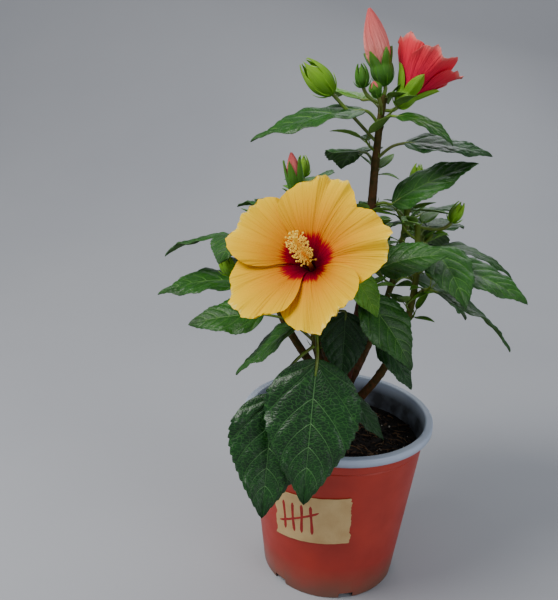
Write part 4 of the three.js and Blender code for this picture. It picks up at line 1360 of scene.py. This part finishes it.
def add_sepals(stock, foot, axes, length, girth, hug, spread_tip, joined, first=0.0, fullest=1.3):
    """Five pointed sepals, grown together below and free at their tips, that keep outside what they hug."""
    s, v = np.meshgrid(np.linspace(0, 1, SEPAL_ROWS), closer_at_edges(SEPAL_COLUMNS), indexing="ij")
    free = np.clip((s - joined) / (1 - joined), 0, 1)
    half_turn = math.radians(SEPAL_HALF_TURN) * np.clip(1 - free ** fullest, 0.02, 1) ** (1.1 / fullest)
    radius = spindle_radius(mix(0.03, 0.985, s), girth, FULLEST_CALYX)
    if hug is not None:
        radius = np.maximum(radius, hug(s * length) + 0.4)
    keel = 1 + 0.1 * (1 - np.abs(v)) ** 2 + 0.02 * np.cos(4 * np.pi * v) - 0.06 * np.abs(v) ** 6
    radius = (radius + spread_tip * free ** 2) * keel
    for k in range(5):
        turn = first + 2 * np.pi * k / 5 + v * half_turn
        outer = on_axis(foot, axes, s * length, radius + 0.18, turn)
        inner = on_axis(foot, axes, s * length, np.maximum(radius - 0.3, 0.05), turn)
        coords = np.stack([v + 2 * k, s], axis=-1)
        stock.shell(inner[:, ::-1], outer[:, ::-1], (0, 0), coords[:, ::-1])


def add_epicalyx(stock, foot, axes, length, girth):
    """The slim bracts that stand round a calyx's foot."""
    shares = np.linspace(0, 1, 7)
    for k in range(BRACTS):
        out = across_at(axes, 2 * np.pi * k / BRACTS + 0.3)
        root = foot + out * min(girth * 0.5, 1.6) + axes["axis"] * length * 0.03
        knee = root + out * girth * 0.7 + axes["axis"] * length * 0.03
        tip = knee + out * girth * 0.28 + axes["axis"] * length * 0.3
        stock.tube(bow(root, knee, tip).points(shares), 0.62 * (1 - 0.85 * shares ** 1.6), 5)


def add_furled_petals(stock, foot, axes, start, length, girth):
    """Petals rolled into one another in a bud, as a cone with spiral folds."""
    rows = np.concatenate([np.linspace(0.02, 0.9, 36), [0.93, 0.96, 0.985]])
    s, turn = np.meshgrid(rows, np.arange(120) * 2 * np.pi / 120, indexing="ij")
    fold = np.mod(5 * turn / (2 * np.pi) + 0.62 * s + 0.06 * np.sin(7 * s), 1)
    pleat = np.sin(2 * np.pi * (fold * 4 + 0.4)) * np.sin(np.pi * fold)
    radius = spindle_radius(s, girth, FULLEST_BUD) * (0.78 + 0.22 * fold ** 0.6 + 0.025 * pleat)
    points = on_axis(foot, axes, start + s * length, radius, turn)
    stock.rings(points, 0, np.stack([5 * turn / np.pi + 1.24 * s, s], axis=-1))


def finished_bloom(bloom, name, finish, nodes, petal_slot, stamens, size):
    petals, column, calyx = Stock(), Stock(), Stock()
    for petal in range(PETALS):
        add_petal(petals, bloom, petal)
    petals.build(name + "_petals", [finish], petal_slot, nodes)
    add_column(column, bloom, stamens, size)
    column.build(name + "_column", [COLUMN, POLLEN], "stamen", nodes)
    foot, axes, length = calyx_foot(bloom), bloom["frame"], bloom["calyx"] + bloom["sepals"]
    girth = length * CALYX_GIRTH_SHARE

    def hug(height):
        return funnel_radius(bloom, height - bloom["calyx"]) * bloom.get("fullness", 1) + 1.5
    add_sepals(calyx, foot, axes, length, girth, hug, spread_tip=0.4, joined=0.34, first=0.35, fullest=1.4)
    add_epicalyx(calyx, foot, axes, length * 0.75, girth)
    calyx.build(name + "_calyx", [CALYX_BRIGHT], "young_leaf", nodes)


# The dressed plant

def owned(entries, owner):
    return [line for line, who in entries if who == owner]


def dress_trunk():
    trunk = Stock()
    shares = np.linspace(0, 1, 48)
    points = np.vstack([trunk_line.point(0) - [0, 0, 2.5], trunk_line.points(shares)])
    radii = np.concatenate([[trunk_radius(0) + 0.6], trunk_radius(shares)])

    def flared(centres, turn):
        above = (centres[:, 2] - SOIL_TOP)[:, None]
        roots = 0.13 * np.exp(-np.clip(above, 0, None) / 7) * np.sin(5 * turn[None, :] + 0.8)
        return furrowed(centres, turn) + roots
    trunk.tube(points, radii, 28, relief=flared)
    trunk.build("trunk_bark", [BARK], "bark", ["trunk"])


def dress_boughs():
    for name, bough in BOUGHS.items():
        stock = Stock()
        youth, back = ((0, 0.1), 1) if name == "leader" else ((0.05, 0.2), 0)
        near = [bough["line"].point(s) for s in (0.3, 0.62, 0.9)]
        wood(stock, bough["line"], taper(bough["root"], bough["tip"]), 20, youth=youth, back=back, near=near)
        stock.build(name + "_bough_bark", [BARK], "bark", ["bough_" + name])


def add_pedicel(stock, line, sides, radii, knuckle, knuckle_place):
    """A flower's stalk, with the knuckle where it will break off."""
    shares = np.linspace(0, 1, len(radii))
    stock.tube(line.points(shares), radii + knuckle * bell(shares - knuckle_place, 0.03), sides)


def dress_mass(owner):
    node = "foliage_" + owner
    blades, veins, sprays, stems, stalks = (Stock() for _ in range(5))
    own = [leaf for leaf in leaves if leaf["mass"] == owner]
    for leaf in own:
        add_blade(blades, leaf)
        add_veins(veins, leaf)
    fine = [leaf for leaf in small_leaves if leaf["mass"] == owner]
    for leaf in fine:
        add_small_blade(sprays, leaf)
    stem = FRONT if owner == "front" else MASSES[owner]
    youth, near = MASS_YOUTH.get(owner, SIDE_MASS_YOUTH), nodes_on(owner)
    wood(stems, stem["line"], taper(stem["root"], stem["end"]), 18, youth=youth, back=1.2, near=near)
    for line in owned(twigs, owner):
        wood(stems, line, taper(2, 1.3), 12, youth=(0.4, 0.9), near=near)
    for line in owned(shoots, owner):
        wood(stems, line, taper(1.2, 0.8), 8, 1.6, youth=(0.7, 1))
    shares = np.linspace(0, 1, 22)
    for leaf in own:
        width = mix(PETIOLE_ROOT_RADIUS, PETIOLE_TIP_RADIUS, shares) + 0.5 * bell(shares, 0.06)
        width = width * np.where(shares > 0.93, 0.75, 1) * (0.75 + 0.25 * leaf["length"] / 100)
        stalks.tube(leaf["stalk"].points(shares), width, 10)
    for leaf in fine:
        stalks.tube(leaf["stalk"].points([0, 0.4, 0.75, 1]), [0.6, 0.5, 0.45, 0.3], 5)
    for line in owned(stipules, owner):
        stalks.tube(line.points([0, 0.35, 0.7, 1]), [0.5, 0.42, 0.3, 0.08], 5)
    for line in owned(pedicels, owner):
        add_pedicel(stalks, line, 10, np.linspace(1.25, 1.55, 16), 0.4, 0.62)
    if own:
        blades.build(owner + "_leaf_blades", LEAF_FINISHES, "leaf", [node])
        veins.build(owner + "_leaf_veins", VEIN_FINISHES, "young_leaf", [node])
    if fine:
        sprays.build(owner + "_young_sprays", LEAF_FINISHES, "young_leaf", [node])
    stems.build(owner + "_stems", [BARK], "bark", [node])
    if stalks.count:
        stalks.build(owner + "_stalks", [STALK_GREEN], "young_leaf", [node])


def dress_buds():
    calyxes, furled = {}, {}
    for one in buds:
        owner, foot, calyx = one["mass"], one["foot"], one["calyx"]
        axes = frame_along(heading(one["azimuth"], one["rise"]))
        green = calyxes.setdefault((owner, one["deep"]), Stock())
        girth = calyx * BUD_GIRTH_SHARE
        if one["petals"]:
            start, length = 0.3 * calyx, 0.2 * calyx + one["petals"]

            def hug(height, start=start, length=length, girth=one["girth"]):
                rolled = spindle_radius((height - start) / length, girth, FULLEST_BUD)
                return np.where(height > start, rolled, 0)
            add_sepals(green, foot, axes, calyx * one["tall"], girth, hug, one["loose"], 0.52, math.pi / 5)
            add_furled_petals(furled.setdefault(owner, Stock()), foot, axes, start, length, one["girth"])
        else:
            add_sepals(green, foot, axes, calyx, girth * 0.82, None, 0.08 * calyx, 0.42)
            shares = np.linspace(0, 1, 14)
            core = foot + axes["axis"] * (0.86 * calyx * shares)[:, None]
            green.tube(core, spindle_radius(mix(0.03, 0.98, shares), girth * 0.73, FULLEST_CALYX), 20)
        add_epicalyx(green, foot, axes, calyx, girth)
    for (owner, deep), stock in calyxes.items():
        kind, finish = ("_deep_green_buds", CALYX_DEEP) if deep else ("_bright_green_buds", CALYX_BRIGHT)
        stock.build(owner + kind, [finish], "young_leaf", ["foliage_" + owner])
    for owner, stock in furled.items():
        stock.build(owner + "_bud_petals", [FURLED_PETAL], "petal_salmon", ["foliage_" + owner])


def dress_flowers():
    for bloom, owner in blooms:
        if owner == "bloom":
            finished_bloom(bloom, "yellow_bloom", YELLOW_PETAL, ["bloom_yellow"], "petal_yellow", 105, 1.12)
        else:
            finished_bloom(bloom, "salmon_bloom", SALMON_PETAL, ["foliage_" + owner], "petal_salmon", 36, 0.8)
    stalk = Stock()
    add_pedicel(stalk, owned(pedicels, "bloom")[0], 12, np.linspace(2.1, 1.8, 22), 0.5, 0.6)
    stalk.build("yellow_bloom_stalk", [STALK_GREEN], "young_leaf", ["bloom_yellow"])


# The pot, its soil and its tape

POT_SIDES = 144
SOIL_SIDES = 160
SOIL_RINGS = 44
SOIL_CRUMBS = 1500
SOIL_FIBRES = 150
SOIL_SEED = 31
TAPE_THICKNESS = 0.35
INK_LIFT = 0.56
STROKE_POINTS = 26
STROKE_WIDTH = 1.25


def choose_nothing():
    bpy.ops.object.select_all(action="DESELECT")


def only(piece):
    choose_nothing()
    piece.select_set(True)
    bpy.context.view_layer.objects.active = piece


def object_mode():
    bpy.ops.object.mode_set(mode="OBJECT")


def edit_with(choice):
    """Opens the active piece for editing with all of it chosen or none of it."""
    bpy.ops.object.mode_set(mode="EDIT")
    bpy.ops.mesh.select_all(action=choice)


def face_outwards():
    edit_with("SELECT")
    bpy.ops.mesh.normals_make_consistent(inside=False)
    object_mode()


def apply_place():
    bpy.ops.object.transform_apply(location=True, rotation=True, scale=True)


def turned_shell(name, rings, sides):
    """A closed turned shell: a disc that is extruded from ring to ring of a profile of radius and height."""
    choose_nothing()
    radius, height = rings[0]
    bpy.ops.mesh.primitive_circle_add(vertices=sides, radius=radius * MM, fill_type="NGON",
                                      location=(0, 0, height * MM))
    piece = bpy.context.object
    piece.name = piece.data.name = name
    apply_place()
    edit_with("SELECT")
    for (r0, z0), (r1, z1) in zip(rings[:-1], rings[1:]):
        bpy.ops.mesh.extrude_region_move(TRANSFORM_OT_translate={"value": (0, 0, (z1 - z0) * MM)})
        bpy.ops.transform.resize(value=(r1 / r0, r1 / r0, 1), center_override=(0, 0, z1 * MM))
    face_outwards()
    return piece


def bevel_chosen(width, segments):
    bpy.ops.object.mode_set(mode="EDIT")
    bpy.ops.mesh.select_mode(type="EDGE")
    bpy.ops.mesh.bevel(offset=width, segments=segments, affect="EDGES")
    bpy.ops.mesh.select_mode(type="VERT")
    object_mode()


def bevel_ring(piece, height, width, segments):
    """Rounds the edges that run round a turned shell at a height."""
    only(piece)
    edit_with("DESELECT")
    object_mode()
    for edge in piece.data.edges:
        one, other = (piece.data.vertices[v].co for v in edge.vertices)
        level = abs(one.z - other.z) < 1e-5
        near = abs(one.z - height * MM) < 2e-5
        edge.select = level and near
    bevel_chosen(width * MM, segments)


def cut_notches(pieces):
    """The drain notches round the foot, cut by one wedge that is copied round."""
    choose_nothing()
    centre = (FOOT_RADIUS - 0.1 * NOTCH_DEPTH, 0, 0.5 * (NOTCH_HEIGHT - 1))
    size = (NOTCH_DEPTH, NOTCH_FOOT_WIDTH, NOTCH_HEIGHT + 1)
    bpy.ops.mesh.primitive_cube_add(size=1, location=[v * MM for v in centre], scale=[v * MM for v in size])
    wedge = bpy.context.object
    apply_place()
    for vertex in wedge.data.vertices:
        vertex.select = vertex.co.z > 0
    bpy.ops.object.mode_set(mode="EDIT")
    bpy.ops.transform.resize(value=(1, NOTCH_HEAD_WIDTH / NOTCH_FOOT_WIDTH, 1), center_override=(0, 0, 0))
    object_mode()
    base = wedge.data.copy()
    for k in range(NOTCHES):
        wedge.data = base.copy()
        wedge.data.transform(Matrix.Rotation(math.radians(NOTCH_TURN + k * 360 / NOTCHES), 4, "Z"))
        for piece in pieces:
            only(piece)
            cut = piece.modifiers.new("notch", "BOOLEAN")
            cut.operation, cut.object, cut.solver = "DIFFERENCE", wedge, "EXACT"
            bpy.ops.object.modifier_apply(modifier=cut.name)
    bpy.data.objects.remove(wedge)


def finish_piece(piece, finish, smooth_angle):
    only(piece)
    bpy.ops.object.shade_smooth_by_angle(angle=math.radians(smooth_angle))
    piece.data.materials.append(finish)


def middle_radius(z):
    return cone_radius(z) - WALL / 2


def inner_radius(z):
    return cone_radius(z) - WALL


def soil_radius(z):
    return inner_radius(z) - 2 * GAP


def dress_pot():
    collar, lip = POT_HEIGHT - COLLAR_HEIGHT, POT_HEIGHT - LIP_HEIGHT
    wall = turned_shell("pot_wall", [
        (FOOT_RADIUS - 1.4, 0), (FOOT_RADIUS - 0.4, 0.4), (cone_radius(1.4), 1.4), (cone_radius(24), 24),
        (cone_radius(26), 26), (cone_radius(70), 70), (cone_radius(collar - 1.2), collar - 1.2),
        (cone_radius(collar) - GROOVE_DEPTH, collar - 0.3), (cone_radius(collar) + COLLAR_STEP, collar + 0.5),
        (cone_radius(lip) + COLLAR_STEP, lip), (middle_radius(lip), lip),
        (middle_radius(FLOOR / 2), FLOOR / 2)], POT_SIDES)
    lining = turned_shell("pot_lining", [
        (middle_radius(FLOOR / 2), FLOOR / 2), (middle_radius(lip), lip), (RIM_RADIUS - LIP_ROUND, lip + 0.2),
        (RIM_RADIUS, lip + 1.6), (RIM_RADIUS, POT_HEIGHT), (inner_radius(POT_HEIGHT), POT_HEIGHT),
        (inner_radius(120), 120), (inner_radius(FLOOR), FLOOR)], POT_SIDES)
    bevel_ring(lining, POT_HEIGHT, 1.6, 4)
    bevel_ring(wall, collar + 0.5, 0.3, 2)
    cut_notches([wall, lining])
    brick = pot_finish("terracotta_plastic", (176, 42, 20), (154, 35, 18), (116, 80, 60), 34, 0, 0.42)
    # Inside the lining, the dark grey below the rim is painted shade where the inside of the pot lies in
    # shadow.
    grey = pot_finish("blue_grey_plastic", (182, 193, 212), (166, 179, 200), (60, 62, 66), POT_HEIGHT - 3,
                      POT_HEIGHT - 12, 0.4)
    for piece, finish, slot in ((wall, brick, "pot_plastic"), (lining, grey, "pot_rim")):
        finish_piece(piece, finish, 35)
        settle(piece, ["pot"])


def uneven(x, y, z):
    return noise.noise(Vector((x, y, z)))


def soil_height(x, y):
    """The soil's top in millimetres: a slight mound with a crumbly surface."""
    reach, edge = math.hypot(x, y), soil_radius(SOIL_EDGE)
    height = np.interp(reach, [0, SOIL_SEAT_RADIUS, edge * 0.75, edge],
                       [SOIL_TOP, SOIL_TOP, SOIL_EDGE + 2, SOIL_EDGE])
    lumps = uneven(x * 0.055, y * 0.055, 3) * 2.2
    lumps += uneven(x * 0.21, y * 0.21, 9) * 1.3
    lumps += uneven(x * 0.6, y * 0.6, 5) * 0.6
    fade = min(max((edge - reach) / 4, 0.25), 1)
    return float(height + lumps * fade)


def dress_soil():
    soil = turned_shell("soil_body", [(soil_radius(FLOOR), FLOOR + GAP), (soil_radius(SOIL_EDGE), SOIL_EDGE)],
                        SOIL_SIDES)
    edit_with("DESELECT")
    object_mode()
    top = max(soil.data.polygons, key=lambda face: face.center.z)
    for face in soil.data.polygons:
        face.select = face.index == top.index
    bpy.ops.object.mode_set(mode="EDIT")
    bpy.ops.mesh.select_mode(type="FACE")
    for _ in range(SOIL_RINGS):
        bpy.ops.mesh.inset(thickness=soil_radius(SOIL_EDGE) / (SOIL_RINGS + 1.5) * MM, depth=0)
    bpy.ops.mesh.select_mode(type="VERT")
    object_mode()
    for vertex in soil.data.vertices:
        if vertex.co.z > (SOIL_EDGE - 1) * MM:
            vertex.co.z = soil_height(vertex.co.x / MM, vertex.co.y / MM) * MM
    earth = plain_finish("potting_soil", (42, 36, 32), (24, 20, 18), 0.9, 180, 1600, 0.0009, specular=0.2)
    finish_piece(soil, earth, 80)
    settle(soil, ["soil"])
    rng, reach = np.random.default_rng(SOIL_SEED), inner_radius(SOIL_EDGE) - 3
    scatter_crumbs(rng, reach, earth)
    scatter_fibres(rng, reach)


def scatter_crumbs(rng, reach, earth):
    """Crumbs of soil, bark bits and pale grains that lie on the soil."""
    crumbs = Stock()
    sizes = [(0.5, 1.9), (0.7, 2.3), (0.6, 1.2)]
    for _ in range(SOIL_CRUMBS):
        far, turn = reach * math.sqrt(rng.uniform(0.01, 1)), rng.uniform(0, 2 * math.pi)
        x, y = far * math.cos(turn), far * math.sin(turn)
        kind = int(rng.choice(3, p=[0.72, 0.24, 0.04]))
        size = rng.uniform(*sizes[kind])
        stretch = np.array([rng.uniform(0.7, 1.5), rng.uniform(0.5, 1), rng.uniform(0.4, 0.8)]) * size
        if kind == 1:
            stretch *= [1.5, 0.7, 0.5]
        shape = GRAIN_CORNERS * (1 + 0.25 * rng.uniform(-1, 1, (12, 1))) * stretch
        turned = Matrix.Rotation(rng.uniform(0, 6.28), 3, "Z") @ Matrix.Rotation(rng.normal(0, 0.4), 3, "X")
        place = [x, y, soil_height(x, y) + 0.35 * size]
        crumbs.add(shape @ np.array(turned).T + place, GRAIN_FACES, kind)
    bark_bit = plain_finish("bark_bit", (84, 64, 48), (58, 44, 34), 0.85, 300, specular=0.2)
    pale = plain_finish("pale_grain", (214, 208, 196), (184, 176, 162), 0.9, 300)
    crumbs.build("soil_crumbs", [earth, bark_bit, pale], "soil", ["soil"], flat=True)


def scatter_fibres(rng, reach):
    fibres = Stock()
    for _ in range(SOIL_FIBRES):
        far, turn = reach * math.sqrt(rng.uniform(0.02, 0.9)), rng.uniform(0, 2 * math.pi)
        x, y = far * math.cos(turn), far * math.sin(turn)
        way, length, lean = rng.uniform(0, 6.28), rng.uniform(5, 15), rng.uniform(-0.4, 0.4)
        points = []
        for s in np.linspace(-0.5, 0.5, 7):
            px = x + length * s * math.cos(way + lean * s)
            py = y + length * s * math.sin(way + lean * s)
            over = min(1, (reach + 1) / max(math.hypot(px, py), 1))
            px, py = px * over, py * over
            points.append((px, py, soil_height(px, py) + 0.5 + 1.4 * (0.25 - s * s)))
        fibres.tube(np.array(points), np.full(7, rng.uniform(0.18, 0.5)), 5)
    straw = plain_finish("straw_fibre", (126, 92, 54), (88, 62, 40), 0.8, 300)
    fibres.build("soil_fibres", [straw], "soil", ["soil"])


def tape_point(a, b, lift):
    """A point of the tape: a runs round the pot and b up it."""
    turn = math.radians(TAPE_TURN + a * TAPE_SPREAD)
    z = mix(TAPE_LOW, TAPE_HIGH, b) - TAPE_TILT * a
    crease = 0.12 * uneven(a * 9, b * 3, 4) + 0.1 * uneven(a * 34, b * 6, 8)
    radius = cone_radius(z) + GAP + lift + crease * (0.3 + 0.7 * min(1, lift))
    return np.array([radius * math.cos(turn), radius * math.sin(turn), z])


def dress_tape():
    choose_nothing()
    bpy.ops.mesh.primitive_grid_add(x_subdivisions=90, y_subdivisions=30, size=1)
    tape = bpy.context.object
    tape.name = tape.data.name = "paper_tape_strip"
    for vertex in tape.data.vertices:
        a, b = vertex.co.x, vertex.co.y + 0.5
        ragged = 0.034 * uneven(7 * b, 1.3 + (a > 0), 2) + 0.02 * uneven(23 * b, 4 + (a > 0), 6)
        torn = 0.06 * b * max(a, 0)
        a = a * (0.955 + 2 * ragged * abs(2 * a) ** 3) - torn
        b = 0.02 + 0.96 * b + 0.006 * uneven(12 * a, 3 * b, 5)
        vertex.co = Vector(tape_point(a, b, TAPE_THICKNESS)) * MM
    only(tape)
    face_outwards()
    thick = tape.modifiers.new("thickness", "SOLIDIFY")
    thick.thickness, thick.offset = TAPE_THICKNESS * MM, 0
    bpy.ops.object.modifier_apply(modifier=thick.name)
    paper = plain_finish("crepe_paper_tape", (206, 176, 122), (190, 156, 104), 0.75, 60, 900, 0.0003)
    finish_piece(tape, paper, 40)
    settle(tape, ["label_tape"])


def dress_tally():
    """Four upright strokes and one across them, drawn on the tape."""
    marks = Stock()
    strokes = [((-0.33 + 0.115 * k + 0.01 * (k % 2), 0.2), (-0.34 + 0.115 * k, 0.8)) for k in range(4)]
    strokes.append(((-0.41, 0.34), (0.1, 0.68)))
    s = np.linspace(0, 1, STROKE_POINTS)
    for (a0, b0), (a1, b1) in strokes:
        wobble = 0.004 * np.sin(5 * s + 20 * a0)
        centres = [tape_point(mix(a0, a1, x) + w, mix(b0, b1, x), INK_LIFT) for x, w in zip(s, wobble)]
        ups = np.array(centres) * [1, 1, 0]
        ups /= np.linalg.norm(ups, axis=1)[:, None]
        width = STROKE_WIDTH * np.clip(np.minimum(s, 1 - s) / 0.06, 0.35, 1) * (1 + 0.12 * np.sin(9 * s))
        marks.strip(np.array(centres), ups, width, np.full(STROKE_POINTS, 0.12))
    ink = plain_finish("red_marker", (170, 24, 18), (146, 18, 16), 0.6, 200)
    marks.build("tally_marks", [ink], "paper_tape", ["label_tape"], flat=True)


# The stage, the lights and the camera

IMAGE_HEIGHT = 600
FOCAL_PIXELS = 694.7
SENSOR_HEIGHT = 24
CAMERA_PLACE = (0, -0.5674, 0.4462)
CAMERA_YAW = -5.74
CAMERA_PITCH = 18.47
CAMERA_ROLL = 2.29


def stage_set():
    """A sheet of studio paper that curves up behind the plant."""
    choose_nothing()
    bpy.ops.mesh.primitive_plane_add(size=6, location=(0, -1.1, 0))
    floor = bpy.context.object
    floor.name = "studio_floor"
    apply_place()
    for vertex in floor.data.vertices:
        vertex.select = vertex.co.y > 0
    for edge in floor.data.edges:
        edge.select = all(floor.data.vertices[v].co.y > 0 for v in edge.vertices)
    for face in floor.data.polygons:
        face.select = False
    bpy.ops.object.mode_set(mode="EDIT")
    bpy.ops.mesh.extrude_region_move(TRANSFORM_OT_translate={"value": (0, 0, 3)})
    object_mode()
    for edge in floor.data.edges:
        ends = [floor.data.vertices[v].co for v in edge.vertices]
        edge.select = all(end.y > 1.8 and abs(end.z) < 1e-6 for end in ends)
    bevel_chosen(1.3, 24)
    paper = plain_finish("studio_paper", (168, 170, 174), (163, 165, 170), 0.9, 2, 300, 0.0001)
    finish_piece(floor, paper, 60)


def soft_light(name, place, target, size, power, colour):
    lamp = bpy.data.lights.new(name, "AREA")
    lamp.shape, lamp.size, lamp.energy, lamp.color = "DISK", size, power, colour
    holder = bpy.data.objects.new(name, lamp)
    holder.location = place
    holder.rotation_euler = (Vector(target) - Vector(place)).to_track_quat("-Z", "Y").to_euler()
    bpy.context.scene.collection.objects.link(holder)


def photo_camera():
    """The camera that the pot's rim and foot in the photograph give."""
    place = Vector(CAMERA_PLACE)
    yaw, pitch, roll = (math.radians(v) for v in (CAMERA_YAW, CAMERA_PITCH, CAMERA_ROLL))
    ahead = Vector((math.sin(yaw) * math.cos(pitch), math.cos(yaw) * math.cos(pitch), -math.sin(pitch)))
    right = Vector((math.cos(yaw), -math.sin(yaw), 0))
    up = right.cross(ahead)
    turned_right = right * math.cos(roll) + up * math.sin(roll)
    turned_up = up * math.cos(roll) - right * math.sin(roll)
    lens = bpy.data.cameras.new("photo_camera")
    lens.sensor_fit = "VERTICAL"
    lens.sensor_height = SENSOR_HEIGHT
    lens.lens = FOCAL_PIXELS / IMAGE_HEIGHT * SENSOR_HEIGHT
    lens.clip_start = 0.01
    camera = bpy.data.objects.new("photo_camera", lens)
    axes = Matrix((turned_right, turned_up, -ahead)).transposed().to_4x4()
    camera.matrix_world = Matrix.Translation(place) @ axes
    bpy.context.scene.collection.objects.link(camera)
    bpy.context.scene.camera = camera


def light_studio():
    world = bpy.data.worlds.new("studio_air")
    bpy.context.scene.world = world
    world.use_nodes = True
    background = world.node_tree.nodes["Background"]
    background.inputs["Color"].default_value = (0.86, 0.9, 1, 1)
    background.inputs["Strength"].default_value = 0.4
    soft_light("window_key", (-1.0, -0.5, 1.5), (0, 0, 0.25), 0.9, 30, (1, 0.98, 0.95))
    soft_light("side_fill", (1.2, -0.9, 0.7), (0, 0, 0.25), 1.0, 7.5, (0.94, 0.97, 1))
    soft_light("back_glow", (0.3, 1.1, 1.2), (0, 0.1, 0.3), 1.1, 6, (0.95, 0.98, 1))


dress_trunk()
dress_boughs()
for mass_name in ["front", *MASSES]:
    dress_mass(mass_name)
dress_buds()
dress_flowers()
dress_pot()
dress_soil()
dress_tape()
dress_tally()
stage_set()
light_studio()
photo_camera()
